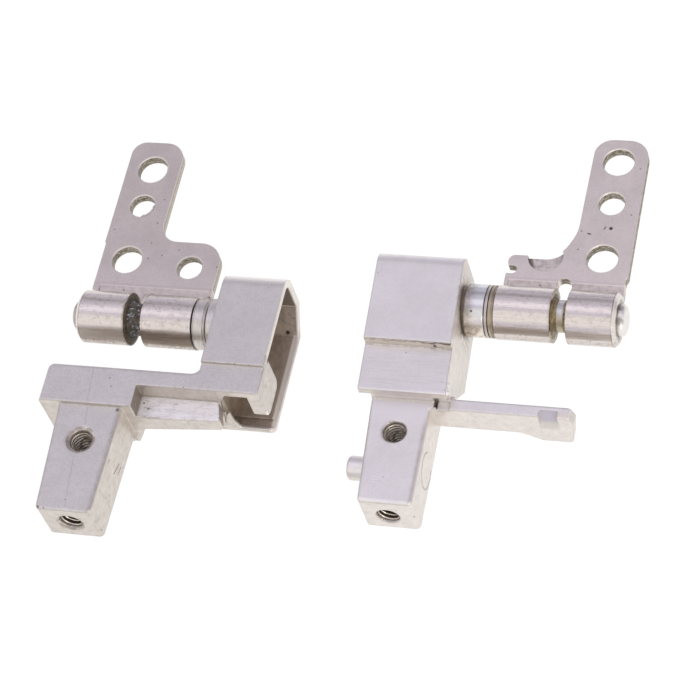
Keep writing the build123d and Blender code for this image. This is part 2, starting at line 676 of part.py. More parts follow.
write(right_bracket(), "right_bracket", RIGHT_X, RIGHT_Y)
write(right_leaf(), "right_leaf", RIGHT_X, RIGHT_Y)
write(shaft(R_TIP_X, R_BLOCK_X1 - R_WEB - SHAFT_PROUD), "right_shaft", RIGHT_X, RIGHT_Y)
ring_x = R_KNUCKLE_X0 - AXIAL_GAP
write(ring(ring_x - R_RING_T, ring_x), "right_ring_inner", RIGHT_X, RIGHT_Y)
ring_x = ring_x - R_RING_T - RING_GAP
write(ring(ring_x - R_RING_T, ring_x), "right_ring_outer", RIGHT_X, RIGHT_Y)
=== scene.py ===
"""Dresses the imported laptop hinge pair: cast brackets, rolled steel leaves, pins, grease and marks."""

import json
import math

import bmesh
import bpy
import numpy as np
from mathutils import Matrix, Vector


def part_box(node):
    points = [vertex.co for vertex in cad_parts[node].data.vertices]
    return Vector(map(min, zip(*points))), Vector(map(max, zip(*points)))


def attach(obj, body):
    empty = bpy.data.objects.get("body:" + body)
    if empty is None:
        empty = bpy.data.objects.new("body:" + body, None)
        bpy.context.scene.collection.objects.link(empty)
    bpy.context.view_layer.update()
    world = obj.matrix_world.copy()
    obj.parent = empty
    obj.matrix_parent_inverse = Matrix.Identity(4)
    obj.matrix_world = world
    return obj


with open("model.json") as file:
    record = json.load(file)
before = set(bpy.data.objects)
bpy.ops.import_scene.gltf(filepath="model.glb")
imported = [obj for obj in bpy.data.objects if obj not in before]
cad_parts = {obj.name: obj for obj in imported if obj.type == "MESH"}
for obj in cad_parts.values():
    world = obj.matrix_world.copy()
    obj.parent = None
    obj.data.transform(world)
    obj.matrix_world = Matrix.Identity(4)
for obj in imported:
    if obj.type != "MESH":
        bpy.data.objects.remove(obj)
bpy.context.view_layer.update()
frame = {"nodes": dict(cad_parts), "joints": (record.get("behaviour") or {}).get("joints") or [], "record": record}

bl_info = {
    "name": "Laptop hinge pair",
    "version": (1, 0, 0),
    "blender": (4, 5, 0),
    "location": "View3D > Sidebar > Hinges",
    "description": "Finishes, grease and casting marks of a pair of laptop hinges",
    "category": "Object",
}

MM = 0.001
PINS = {joint["name"]: np.array(joint["pos_m"]) for joint in frame["joints"]}
LEFT = PINS["left_hinge"]
RIGHT = PINS["right_hinge"]


class Term:
    """A shader socket in a Python sum: each operator adds one Math node."""

    def __init__(self, paint, socket):
        self.paint = paint
        self.socket = socket

    def math(self, operation, *others, swap=False):
        terms = [self, *others]
        if swap:
            terms.reverse()
        return self.paint.node("ShaderNodeMath", {"operation": operation}, dict(enumerate(terms)))

    def __add__(self, other):
        return self.math("ADD", other)

    def __radd__(self, other):
        return self.math("ADD", other, swap=True)

    def __sub__(self, other):
        return self.math("SUBTRACT", other)

    def __rsub__(self, other):
        return self.math("SUBTRACT", other, swap=True)

    def __mul__(self, other):
        return self.math("MULTIPLY", other)

    def __truediv__(self, other):
        return self.math("DIVIDE", other)

    def __abs__(self):
        return self.math("ABSOLUTE")

    def least(self, other):
        return self.math("MINIMUM", other)

    def most(self, other):
        return self.math("MAXIMUM", other)

    def ease(self, low, high):
        """0 at low, 1 at high, smooth between; falls instead if low is above high."""
        smooth = {"interpolation_type": "SMOOTHSTEP"}
        return self.paint.node("ShaderNodeMapRange", smooth, {0: self, 1: low, 2: high, 3: 0.0, 4: 1.0})

    def band(self, low, high, soft):
        """1 between low and high, 0 outside, with soft shoulders."""
        return self.ease(low - soft, low + soft) * self.ease(high + soft, high - soft)


class Paint:
    """One node tree and the ways of adding to it."""

    def __init__(self, tree):
        self.tree = tree
        tree.nodes.clear()

    def node(self, kind, settings=None, inputs=None, out=0):
        made = self.tree.nodes.new(kind)
        for key, value in (settings or {}).items():
            setattr(made, key, value)
        for key, value in (inputs or {}).items():
            if isinstance(value, Term):
                self.tree.links.new(value.socket, made.inputs[key])
            elif made.inputs[key].type == "RGBA" and len(value) == 3:
                made.inputs[key].default_value = (*value, 1.0)
            else:
                made.inputs[key].default_value = value
        if not made.outputs:
            return None
        if isinstance(out, tuple):
            return [Term(self, made.outputs[key]) for key in out]
        return Term(self, made.outputs[out])

    def mix(self, share, first, second, blend="MIX"):
        settings = {"data_type": "RGBA", "blend_type": blend}
        return self.node("ShaderNodeMix", settings, {0: share, 6: first, 7: second}, 2)

    def vector(self, operation, first, second=None, out=0):
        inputs = {0: first}
        if second is not None:
            inputs[3 if operation == "SCALE" else 1] = second
        return self.node("ShaderNodeVectorMath", {"operation": operation}, inputs, out)

    def place(self, origin):
        """Position in millimetres from a hinge's own origin, as a vector and as x, y, z."""
        at = self.node("ShaderNodeTexCoord", out=3)
        at = self.vector("SCALE", self.vector("SUBTRACT", at, tuple(origin)), 1 / MM)
        return at, *self.node("ShaderNodeSeparateXYZ", {}, {0: at}, (0, 1, 2))

    def noise(self, at, scale, detail=3.0, rough=0.55, stretch=None):
        if stretch is not None:
            at = self.vector("MULTIPLY", at, stretch)
        inputs = {"Vector": at, "Scale": scale, "Detail": detail, "Roughness": rough}
        return self.node("ShaderNodeTexNoise", {}, inputs)

    def specks(self, at, scale, size, share, dimensions="3D"):
        """Small dots: 1 near the centres of a share of the cells of a Voronoi pattern, 0 elsewhere."""
        inputs = {"Vector": at, "Scale": scale}
        settings = {"voronoi_dimensions": dimensions}
        away, colour = self.node("ShaderNodeTexVoronoi", settings, inputs, ("Distance", "Color"))
        chosen = self.node("ShaderNodeSeparateColor", {}, {0: colour})
        return away.ease(size, size * 0.5) * chosen.math("LESS_THAN", share)

    def inside(self, spans, soft):
        """1 in a box: each span is a coordinate with its low and high end."""
        total = None
        for term, low, high in spans:
            part = term.band(low, high, soft)
            total = part if total is None else total * part
        return total

    def corners(self, reach):
        """Painted shade: 1 deep in every corner and gap narrower than reach (mm), 0 on open faces, read from
        ambient occlusion.
        """
        inputs = {"Distance": reach * MM}
        open_share = self.node("ShaderNodeAmbientOcclusion", {"samples": 6}, inputs, "AO")
        return open_share.ease(0.62, 0.12)

    def spot(self, at, centre, radius, soft=0.3):
        """1 inside a ball about centre, falling to 0 over the soft share of its radius."""
        away = self.vector("DISTANCE", at, centre, 1)
        return away.ease(radius * (1 + soft), radius * (1 - soft))

    def surface(self, colour, rough, metallic, height=None, depth=0.0, bevel=0.0, shine=0.5):
        inputs = {"Base Color": colour, "Roughness": rough, "Metallic": metallic}
        inputs["Specular IOR Level"] = shine
        normal = None
        if bevel:
            normal = self.node("ShaderNodeBevel", {"samples": 6}, {"Radius": bevel * MM})
        if height is not None:
            bump = {"Height": height, "Distance": depth * MM, "Strength": 1.0}
            if normal is not None:
                bump["Normal"] = normal
            normal = self.node("ShaderNodeBump", {}, bump)
        if normal is not None:
            inputs["Normal"] = normal
        shader = self.node("ShaderNodeBsdfPrincipled", {}, inputs)
        self.node("ShaderNodeOutputMaterial", {}, {0: shader})

    def facing(self, way, soft=0.0):
        """1 on faces that look along an axis, either way; soft rounds their edges (mm)."""
        if soft:
            share = self.rounded(soft, way)
        else:
            share = self.node("ShaderNodeSeparateXYZ", {}, {0: self.node("ShaderNodeTexCoord", out=1)}, way)
        return abs(share).ease(0.35, 0.75)

    def rounded(self, reach, way):
        """One axis of the normal as it would be with the edges rounded by reach (mm)."""
        normal = self.node("ShaderNodeBevel", {"samples": 8}, {"Radius": reach * MM})
        turn = {"vector_type": "NORMAL", "convert_from": "WORLD", "convert_to": "OBJECT"}
        normal = self.node("ShaderNodeVectorTransform", turn, {0: normal})
        return self.node("ShaderNodeSeparateXYZ", {}, {0: normal}, way)

    def shoulder_shade(self, reach):
        """Painted shade: 1 on standing faces just under their upper edge, falling to 0 within reach (mm)."""
        return self.rounded(reach, "Z").ease(0.06, 0.42) * (1.0 - self.facing("Z"))

    def brink_light_and_shade(self, reach):
        """1 along the long edges of faces that look up, within reach (mm); fainter on the left edge. Used for
        painted shade on rounded edges.
        """
        tilt = self.rounded(reach, "X")
        return (tilt.ease(0.05, 0.32) + tilt.ease(-0.3, -0.6) * 0.7) * self.facing("Z")

    def edges(self, radius):
        """1 along sharp edges: how far the rounded normal leaves the face's own normal."""
        rounded = self.node("ShaderNodeBevel", {"samples": 6}, {"Radius": radius * MM})
        plain = self.node("ShaderNodeNewGeometry", out=1)
        return (1.0 - self.vector("DOT_PRODUCT", rounded, plain, 1)).ease(0.0, 0.2)


def new_paint(name):
    material = bpy.data.materials.new(name)
    material.use_nodes = True
    return material, Paint(material.node_tree)


def dress(node, material):
    frame["nodes"][node].material_slots[0].material = material


def surface(name, grid, wrap_u=False, wrap_v=False, caps=False):
    """Mesh object from a grid of points, shape (u, v, 3), in metres; caps close the first and last row."""
    rows, columns = grid.shape[:2]
    index = np.arange(rows * columns).reshape(rows, columns)
    u = np.arange(rows if wrap_u else rows - 1)
    v = np.arange(columns if wrap_v else columns - 1)
    u, v = np.meshgrid(u, v, indexing="ij")
    up = (u + 1) % rows
    vp = (v + 1) % columns
    quads = np.stack([index[u, v], index[up, v], index[up, vp], index[u, vp]], axis=-1).reshape(-1, 4)
    faces = quads.tolist()
    if caps:
        faces.append(index[0].tolist())
        faces.append(index[-1].tolist())
    mesh = bpy.data.meshes.new(name)
    mesh.from_pydata(grid.reshape(-1, 3).tolist(), [], faces)
    shape = bmesh.new()
    shape.from_mesh(mesh)
    bmesh.ops.recalc_face_normals(shape, faces=shape.faces)
    shape.to_mesh(mesh)
    shape.free()
    mesh.shade_smooth()
    piece = bpy.data.objects.new(name, mesh)
    bpy.context.scene.collection.objects.link(piece)
    return piece


def finish_piece(piece, material, body):
    piece.data.materials.append(material)
    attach(piece, body)
    return piece


def ripple(angle, along, seed, waves=7):
    """Sum of sines over the angle and the length, with set phases: an even, repeatable unevenness."""
    total = np.zeros(np.broadcast(angle, along).shape)
    for k in range(1, waves + 1):
        phase = 2.399 * seed * k
        total = total + np.sin(k * angle + phase) * np.cos(1.7 * k * along + 1.3 * phase) / k ** 0.7
    return total / 2.6


def colour_value(name, description, default, most=1.0):
    return bpy.props.FloatVectorProperty(
        name=name, description=description, subtype="COLOR", default=default, min=0.0, max=most)


class HingeFinish(bpy.types.PropertyGroup):
    """Colours and gloss of the metals and the grease."""

    left_cast: colour_value(
        "Left casting", "Colour of the left bracket's zinc", (0.77, 0.735, 0.72))
    right_cast: colour_value(
        "Right casting", "Colour of the right bracket's zinc", (0.93, 0.895, 0.89))
    # Standing faces: painted light, a lit copy of each casting's colour.
    left_side_light: colour_value(
        "Left sides", "Colour of the left bracket's standing faces", (0.66, 0.605, 0.54))
    right_side_light: colour_value(
        "Right sides", "Colour of the right bracket's standing faces", (0.745, 0.69, 0.63))
    channel: colour_value(
        "Channel", "Colour inside the cable channels", (0.50, 0.42, 0.345))
    leaf: colour_value(
        "Leaf", "Colour of the leaves' flat sheet", (0.70, 0.635, 0.595))
    cut_edge: colour_value(
        "Cut edge", "Colour of the sheet's cut edges and hole walls", (0.17, 0.145, 0.105))
    barrel: colour_value(
        "Barrel", "Colour of the polished rolled knuckles", (0.80, 0.735, 0.70))
    pin: colour_value(
        "Pin", "Colour of the pins and rings", (0.74, 0.70, 0.66))
    dark_grease: colour_value(
        "Dark grease", "Colour of the old grease in the left gap", (0.050, 0.050, 0.040))
    amber_grease: colour_value(
        "Amber grease", "Colour of the grease in the right gap", (0.25, 0.20, 0.11))
    cast_rough: bpy.props.FloatProperty(
        name="Casting roughness", description="Roughness of the cast zinc", subtype="FACTOR",
        default=0.40, min=0, max=1)
    sheet_rough: bpy.props.FloatProperty(
        name="Sheet roughness", description="Roughness of the flat sheet", subtype="FACTOR",
        default=0.38, min=0, max=1)


class HingeSizes(bpy.types.PropertyGroup):
    """Sizes of the small forms that the casting and the sheet carry."""

    pitch: bpy.props.FloatProperty(
        name="Thread pitch", description="Rise of one thread turn", subtype="DISTANCE", default=0.45 * MM)
    crest: bpy.props.FloatProperty(
        name="Thread height", description="How far a turn stands out of the wall", subtype="DISTANCE",
        default=0.17 * MM)
    edge: bpy.props.FloatProperty(
        name="Edge softness", description="Radius of the softened edges", subtype="DISTANCE",
        default=0.28 * MM)


class HingeStage(bpy.types.PropertyGroup):
    """Lamps, floor and camera."""

    key_power: bpy.props.FloatProperty(
        name="Key lamp", description="Power of the lamp at the front right", subtype="POWER", default=0.6)
    floor_white: bpy.props.FloatProperty(
        name="Floor white", description="Share of plain white in the floor", subtype="FACTOR",
        default=0.95, min=0, max=1)
    sky: colour_value(
        "Sky", "Light between the panels", (0.60, 0.58, 0.68), 2.0)
    dusk: colour_value(
        "Back", "Dimmer light behind the hinges", (0.30, 0.28, 0.31), 2.0)
    overhead: colour_value(
        "Upper panel", "Light of the panel overhead", (1.10, 1.06, 1.18), 2.0)
    front: colour_value(
        "Front panel", "Light of the panel in front and of the sides", (0.96, 0.94, 0.92), 2.0)
    camera_place: bpy.props.FloatVectorProperty(
        name="Camera place", description="Where the camera stands", subtype="TRANSLATION", unit="LENGTH",
        default=(84.245 * MM, -143.146 * MM, 241.214 * MM))
    camera_turn: bpy.props.FloatVectorProperty(
        name="Camera turn", description="How the camera is turned", subtype="EULER",
        default=tuple(math.radians(a) for a in (32.8347, 12.3379, 12.4228)))
    lens: bpy.props.FloatProperty(
        name="Lens", description="Focal length on a 36 mm sensor", default=148.455)


# Colours: a painted highlight for edges and rims; a dirt colour that also paints shade in every corner, gap,
# groove and recess; a soot colour that also paints shade in the gaps on the pins.
HIGHLIGHT_CREAM = (0.84, 0.80, 0.735)
GRIME_AND_SHADE = (0.20, 0.165, 0.13)
SOOT_AND_SHADE = (0.045, 0.040, 0.034)


def tint(colour, share):
    return tuple(min(1.0, c * share) for c in colour)


def far(a, b):
    """Distance from an axis, from the two coordinates across it."""
    return (a * a + b * b).math("SQRT")


def tapped_hole(paint, at, hole, origin):
    """Two masks about a tapped hole of the record: its wall, and the cone of its mouth."""
    centre = tuple((np.array(hole["pos_m"]) - origin) / MM)
    wall = hole["dims"]["r_mm"]
    half = hole["dims"]["length_mm"] / 2
    rel = paint.vector("SUBTRACT", at, centre)
    along = paint.vector("DOT_PRODUCT", rel, tuple(hole["axis"]), 1)
    away = paint.vector("LENGTH", paint.vector("CROSS_PRODUCT", rel, tuple(hole["axis"])), out=1)
    inner = away.ease(wall + 0.14, wall + 0.03) * along.band(-half - 0.5, half - 0.3, 0.15)
    facing = paint.vector("DOT_PRODUCT", paint.node("ShaderNodeTexCoord", out=1), tuple(hole["axis"]), 1)
    mouth = away.ease(wall + 0.5, wall + 0.45) * along.ease(half - 0.1, half) * facing.ease(0.97, 0.9)
    return inner, mouth


def mounts(kind, start):
    """The record's mounts of one kind whose names begin alike."""
    return [m for m in frame["record"]["mounts"] if m["kind"] == kind and m["name"].startswith(start)]


def threaded(side):
    return mounts("threaded_hole", side)


def tapped_holes(paint, at, side, origin, tone, mottle):
    """Painted shade in a side's tapped holes: brown mouths and dark walls; also the sum of the mouths' masks."""
    mouths = None
    for hole in threaded(side):
        wall, mouth = tapped_hole(paint, at, hole, origin)
        tone = paint.mix(mouth * (0.2 + mottle.ease(0.42, 0.6) * 0.6), tone, (0.36, 0.30, 0.26))
        tone = paint.mix(wall * 0.93, tone, (0.10, 0.08, 0.065))
        mouths = mouth if mouths is None else mouths + mouth
    return tone, mouths


def zinc(paint, at, colour, side_light, edge, wear):
    """Cast zinc: clouds, grain, hair scratches and pits; mottled on standing faces, which take their own colour as
    painted light; painted highlights along the edges, with dirt in places; painted shade under the top edges and
    in every corner.
    """
    clouds = paint.noise(at, 0.30, 4.0)
    mottle = paint.noise(at, 1.7, 4.0, 0.62)
    grain = paint.noise(at, 7.0, 5.0, 0.7)
    hairs = paint.noise(at, 1.1, 2.0, 0.5, (0.22, 6.0, 3.0)).ease(0.66, 0.72)
    pits = paint.specks(at, 0.62, 0.09, 0.30)
    side = 1.0 - paint.facing("Z", edge * 1.3)
    blotch = paint.noise(at, 1.05, 5.0, 0.7)
    tone = paint.mix(clouds.ease(0.3, 0.7), tint(colour, 0.965), tint(colour, 1.03))
    tone = paint.mix(mottle.ease(0.4, 0.7) * (0.24 * wear), tone, tint(colour, 0.70))
    tone = paint.mix(grain.ease(0.42, 0.68) * (0.34 * wear), tone, tint(colour, 0.55))
    tone = paint.mix(hairs * (0.10 * wear), tone, tint(colour, 0.45))
    # Painted light: standing faces take their own colour, a lit copy of the zinc.
    tone = paint.mix(side * 0.75, tone, side_light)
    tone = paint.mix(side * blotch.ease(0.5, 0.68) * (0.55 * wear), tone, (0.46, 0.40, 0.34))
    tone = paint.mix(side * blotch.ease(0.47, 0.34) * (0.3 + 0.3 * wear), tone, tint(side_light, 1.25))
    # Painted shade on standing faces just under their top edges.
    tone = paint.mix(paint.shoulder_shade(0.55) * (0.2 + 0.35 * wear), tone, (0.36, 0.32, 0.29))
    # Painted highlight along the edges, broken by the grain.
    rim = paint.edges(edge)
    tone = paint.mix(rim * (0.12 + grain.ease(0.35, 0.6) * 0.4), tone, HIGHLIGHT_CREAM)
    tone = paint.mix(paint.edges(edge * 0.6) * mottle.ease(0.55, 0.66) * (0.5 * wear), tone, GRIME_AND_SHADE)
    # Painted shade in every corner and gap.
    tone = paint.mix(paint.corners(0.45) * 0.55, tone, GRIME_AND_SHADE)
    tone = paint.mix(pits * 0.55, tone, (0.14, 0.12, 0.11))
    height = grain * 0.6 + mottle * 0.5 - pits * 2.0 - hairs * 0.5 + side * blotch * 1.6
    return tone, mottle, grain, height


class HINGE_OT_left_casting(bpy.types.Operator):
    """Satin zinc on the left bracket, with its brown cable channel, painted shade on the pocket wall, painted
    highlights on its back edge and channel rims, and tapped holes
    """

    bl_idname = "hinge.left_casting"
    bl_label = "Left casting"

    def execute(self, context):
        finish = context.scene.hinge_finish
        edge = context.scene.hinge_sizes.edge / MM
        colour = tuple(finish.left_cast)
        material, paint = new_paint("left_zinc")
        at, x, y, z = paint.place(LEFT)
        tone, mottle, grain, height = zinc(paint, at, colour, tuple(finish.left_side_light), edge, 1.0)

        # Painted highlight along the block's rounded back edge.
        crown_highlight = paint.inside(((x, 9.3, 16.3), (y, 3.05, 4.6), (z, 2.2, 4.1)), 0.45)
        tone = paint.mix(crown_highlight * 0.9, tone, (1.0, 0.96, 0.90))

        # Post: painted shade along the rounded long edges, dirt at two corner points and along the parting line.
        wear_and_shade = paint.brink_light_and_shade(0.9) * y.ease(-12.3, -12.7) * (0.3 + mottle * 0.5)
        tone = paint.mix(wear_and_shade, tone, (0.37, 0.325, 0.29))
        line = paint.inside(((x, -1.75, -0.75), (y, -24.0, -20.3), (z, 2.9, 3.3)), 0.2)
        tone = paint.mix(line * paint.specks(at, 1.5, 0.24, 0.5) * 0.5, tone, GRIME_AND_SHADE)
        for corner, radius in (((-3.81, -24.6, 3.1), 0.2), ((1.69, -12.75, 3.1), 0.2)):
            tone = paint.mix(paint.spot(at, corner, radius, 0.5) * 0.75, tone, tint(GRIME_AND_SHADE, 0.6))

        # Pocket: painted shade on the wall at its left, shaded back, bright scraped floor whose brightness is
        # partly painted light, and a painted highlight at the foot of the left wall.
        floor = paint.inside(((x, 3.2, 12.2), (y, -12.35, -9.95), (z, 1.30, 1.42)), 0.05)
        back = paint.inside(((x, 3.2, 11.7), (y, -9.97, -9.83), (z, 1.42, 3.5)), 0.05)
        wall = paint.inside(((x, 2.98, 3.26), (y, -12.38, -9.9), (z, 1.40, 3.5)), 0.06)
        drags = paint.noise(at, 1.2, 3.0, 0.6, (0.5, 4.5, 1.0))
        scrape = paint.noise(at, 1.4, 5.0, 0.7, (0.6, 1.6, 1.0)) * 0.6 + drags * 0.4
        # Floor painted near white: partly scraping, partly painted light.
        tone = paint.mix(floor * (0.80 + scrape.ease(0.35, 0.6) * 0.2), tone, (1.0, 0.98, 1.0))
        nick = paint.noise(at, 0.9, 4.0, 0.6, (0.5, 3.2, 1.0)).ease(0.60, 0.66)
        tone = paint.mix(floor * nick * 0.6, tone, (0.34, 0.30, 0.27))
        crease = paint.noise(at, 0.62, 4.0, 0.65, (0.8, 1.7, 1.0))
        tone = paint.mix(floor * crease.band(0.480, 0.515, 0.025) * 0.26, tone, (0.42, 0.38, 0.38))
        smudge = floor * y.ease(-12.0, -12.32) * mottle.ease(0.42, 0.58)
        tone = paint.mix(smudge * 0.5, tone, (0.38, 0.32, 0.26))
        # Painted highlight along the foot of the left wall.
        tone = paint.mix(floor * x.ease(3.75, 3.45) * 0.9, tone, (1.0, 0.98, 0.96))
        specks = paint.specks(at, 1.5, 0.22, 0.45) * x.ease(4.9, 3.9)
        tone = paint.mix(floor * specks * 0.8, tone, tint(GRIME_AND_SHADE, 0.6))
        tone = paint.mix(back * (0.12 + mottle * 0.35), tone, (0.36, 0.31, 0.26))
        # Painted shade on the left wall, in the dirt colour.
        tone = paint.mix(wall * (0.55 + mottle * 0.5), tone, GRIME_AND_SHADE)

        # Cable channel: painted shade on the upright back and a painted highlight on the bend, rough slope, brown
        # floor, painted lighter at the opening.
        slope = (y - 1.95) * 0.768 - (z + 4.5) * 0.640
        room = paint.inside(((x, 11.12, 16.0), (y, -9.3, 3.85), (z, -4.1, 3.32)), 0.04)
        room = room * slope.ease(-0.3, -0.45)
        streak = paint.noise(at, 1.1, 5.0, 0.7, (1.0, 0.5, 0.5))
        brown = tuple(finish.channel)
        cave = paint.mix(streak.ease(0.3, 0.7), tint(brown, 0.82), tint(brown, 1.22))
        # Painted light: lighter towards the opening.
        cave = paint.mix(x.ease(14.4, 16.2) * 0.25, cave, (0.74, 0.67, 0.59))
        bank = z.band(-3.9, -1.15, 0.1) * y.ease(1.2, 1.7)
        cave = paint.mix(bank * 0.15, cave, (0.62, 0.57, 0.51))
        crack = paint.noise(at, 0.75, 4.0, 0.6).band(0.492, 0.508, 0.010)
        crack = crack + mottle.band(0.56, 0.60, 0.02) * 0.4
        cave = paint.mix(bank * crack.least(1.0) * 0.75, cave, tint(brown, 0.4))
        # Painted shade on the upright back, then a painted highlight along the bend.
        cave = paint.mix(z.ease(-1.25, -0.95) * y.ease(3.0, 3.4) * 0.8, cave, tint(brown, 0.52))
        cave = paint.mix(z.band(-1.22, -1.04, 0.05) * y.ease(3.2, 3.5) * 0.8, cave, (0.86, 0.81, 0.74))
        rib = x.band(13.35, 13.75, 0.12) * y.band(-1.3, 2.3, 0.4) * z.ease(-3.8, -3.95)
        cave = paint.mix(rib * 0.7, cave, (0.80, 0.74, 0.66))
        cave = paint.mix(paint.spot(at, (15.06, 1.81, -3.46), 0.22) * 0.95, cave, SOOT_AND_SHADE)
        cave = paint.mix(paint.spot(at, (15.86, -1.4, -4.0), 0.10) * 0.7, cave, SOOT_AND_SHADE)
        # Painted highlight: the cut wall of the window is painted near white.
        brim_highlight = paint.inside(((x, 11.9, 16.3), (y, -9.97, -9.48), (z, -3.95, -0.3)), 0.04)
        brim_highlight = brim_highlight * (1.0 - paint.facing("Y"))
        tone = paint.mix(brim_highlight * 0.9, tone, (1.0, 0.97, 0.92))
        # Painted light: the narrow gap left of the window is painted pale against its shade.
        slit_light = paint.inside(((x, 11.0, 12.4), (y, -9.95, -8.6), (z, -2.4, 0.3)), 0.15)
        cave = paint.mix(slit_light * 0.8, cave, (0.95, 0.88, 0.79))
        # Painted highlight: the right rim of the channel floor is cream and less metallic.
        brink_light_and_shade = x.ease(15.6, 15.8) * z.ease(-3.55, -3.7)
        tone = paint.mix(room, tone, cave)
        tone = paint.mix(brink_light_and_shade * 0.9, tone, (0.90, 0.84, 0.765))
        # Painted highlight: the right end face, apart from the lobe, is painted cream.
        lobe = y.ease(-5.3, -5.6) * z.ease(-1.7, -1.4)
        tone = paint.mix(x.ease(16.08, 16.16) * (1.0 - lobe) * 0.7, tone, (0.97, 0.92, 0.85))

        tone, mouths = tapped_holes(paint, at, "left", LEFT, tone, mottle)
        dark = room * 0.25 - mouths * 0.18
        rough = finish.cast_rough + (grain - 0.5) * 0.16 + (mottle - 0.5) * 0.12 + dark + floor * 0.2
        height = height + floor * (scrape * 3.0 + crease * 9.0)
        paint.surface(tone, rough, 0.75 - brink_light_and_shade * 0.6, height, 0.012, edge)
        dress("left_bracket", material)
        return {"FINISHED"}


class HINGE_OT_right_casting(bpy.types.Operator):
    """Paler satin zinc on the right bracket, with its brushed plate, ragged step, painted shade in its groove and
    notch, and painted light on the finger's end and the boss's lower side
    """

    bl_idname = "hinge.right_casting"
    bl_label = "Right casting"

    def execute(self, context):
        finish = context.scene.hinge_finish
        edge = context.scene.hinge_sizes.edge / MM
        colour = tuple(finish.right_cast)
        material, paint = new_paint("right_zinc")
        at, x, y, z = paint.place(RIGHT)
        tone, mottle, grain, height = zinc(paint, at, colour, tuple(finish.right_side_light), edge, 0.5)

        # Painted shade along the rounded long edges.
        wear_and_shade = paint.brink_light_and_shade(0.7) * y.ease(-12.3, -12.7) * (0.25 + mottle * 0.5)
        tone = paint.mix(wear_and_shade, tone, (0.45, 0.40, 0.37))

        # Plate: lines brushed along it, and dirt in the foot of the step.
        plate = paint.inside(((y, -11.95, -6.62), (z, 2.93, 3.07)), 0.04)
        lines = paint.noise(at, 2.2, 3.0, 0.6, (0.10, 3.2, 1.0))
        tone = paint.mix(plate * lines.ease(0.45, 0.72) * 0.24, tone, tint(colour, 0.62))
        tone = paint.mix(plate * lines.ease(0.45, 0.28) * 0.20, tone, (0.96, 0.94, 0.93))
        step = paint.inside(((y, -6.75, -6.42), (z, 2.96, 3.98)), 0.05)
        torn = paint.noise(at, 1.3, 4.0, 0.7, (1.0, 0.2, 0.2)) - 0.5
        tone = paint.mix(step * 0.55, tone, (0.62, 0.55, 0.47))
        line = (z - 3.72 + torn * 1.1).band(-0.12, 0.14, 0.06)
        line = line + (z - 3.05 + torn * 0.5).band(-0.06, 0.06, 0.04) * 0.5
        broken = mottle.ease(0.36, 0.52) * (0.45 + x.ease(-15.0, -11.0) * 0.5)
        tone = paint.mix(step * line.least(1.0) * broken, tone, tint(GRIME_AND_SHADE, 0.8))
        tone = paint.mix(paint.spot(at, (-11.49, -6.46, 3.3), 0.2, 0.5) * 0.9, tone, SOOT_AND_SHADE)
        lip = paint.inside(((y, -12.0, -11.5), (z, 1.8, 2.9)), 0.08)
        tone = paint.mix(lip * (0.2 + mottle * 0.3), tone, (0.50, 0.45, 0.40))
        seam = paint.inside(((x, -17.8, -11.2), (y, -12.0, -11.7)), 0.05)
        seam = seam * (z.band(1.32, 1.46, 0.05) + z.band(1.76, 1.92, 0.05) * 0.6)
        # Painted reflection: the post's top next to the block takes a cool lavender tone of sky light and less
        # metal.
        root_light_and_shade = x.band(-17.75, -11.15, 0.05) * z.band(0.68, 1.34, 0.05)
        root_light_and_shade = root_light_and_shade * y.ease(-15.2, -12.6) * y.ease(-11.75, -11.85)
        tone = paint.mix(root_light_and_shade * 0.8, tone, (0.80, 0.775, 0.85))
        tone = paint.mix(seam * (0.25 + mottle.ease(0.4, 0.6) * 0.45), tone, GRIME_AND_SHADE)

        # Finger: painted cool shade in its notch, painted warm light on its rounded end.
        notch_shade = paint.inside(((x, -0.27, 1.57), (z, -1.62, 0.8)), 0.03) * y.band(-12.3, -11.45, 0.04)
        notch_shade = notch_shade * (y + 12.26 - (z + 1.58) * 0.326).band(-0.08, 0.08, 0.04) * z.ease(-0.85, -0.45)
        tone = paint.mix(notch_shade * 0.85, tone, (0.50, 0.48, 0.56))
        tip_light = paint.inside(((x, 1.63, 3.3), (y, -12.3, -11.0), (z, 0.6, 0.8)), 0.05)
        tone = paint.mix(tip_light * y.ease(-11.3, -11.9) * 0.7, tone, (0.95, 0.86, 0.74))

        # Painted shade in the groove between the block and the boss, painted light on the boss's lower side, and
        # oil on the boss.
        round_pin = far(y, z)
        groove = x.band(-10.35, -9.78, 0.05) * round_pin.band(2.2, 2.62, 0.06)
        tone = paint.mix(groove * 0.85, tone, tint(GRIME_AND_SHADE, 0.8))
        boss = x.band(-9.75, -7.4, 0.05) * round_pin.band(2.5, 2.85, 0.05)
        under = (y * -0.94 - z * 0.34).ease(1.5, 2.6)
        tone = paint.mix(boss * 0.8, tone, (0.71, 0.71, 0.735))
        # Painted light: the boss's lower side is cream, with dark specks of dirt on it.
        tone = paint.mix(boss * under * 0.75, tone, (0.95, 0.84, 0.71))
        tone = paint.mix(boss * under * mottle.ease(0.52, 0.62) * 0.6, tone, (0.30, 0.245, 0.185))
        splash = x.ease(-10.4, -10.1) * x.ease(-8.3, -9.6) * round_pin.ease(3.2, 2.85)
        splash = splash * (0.35 + mottle.ease(0.3, 0.6) * 0.5)
        tone = paint.mix(splash * 0.85, tone, (0.25, 0.205, 0.15))
        stain = x.band(-10.3, -9.6, 0.1) * round_pin.ease(4.8, 2.9) * mottle.ease(0.40, 0.62)
        tone = paint.mix(stain * 0.6, tone, (0.34, 0.28, 0.21))
        tone = paint.mix(paint.spot(at, (-8.9, -1.5, 2.3), 0.13) * 0.85, tone, SOOT_AND_SHADE)

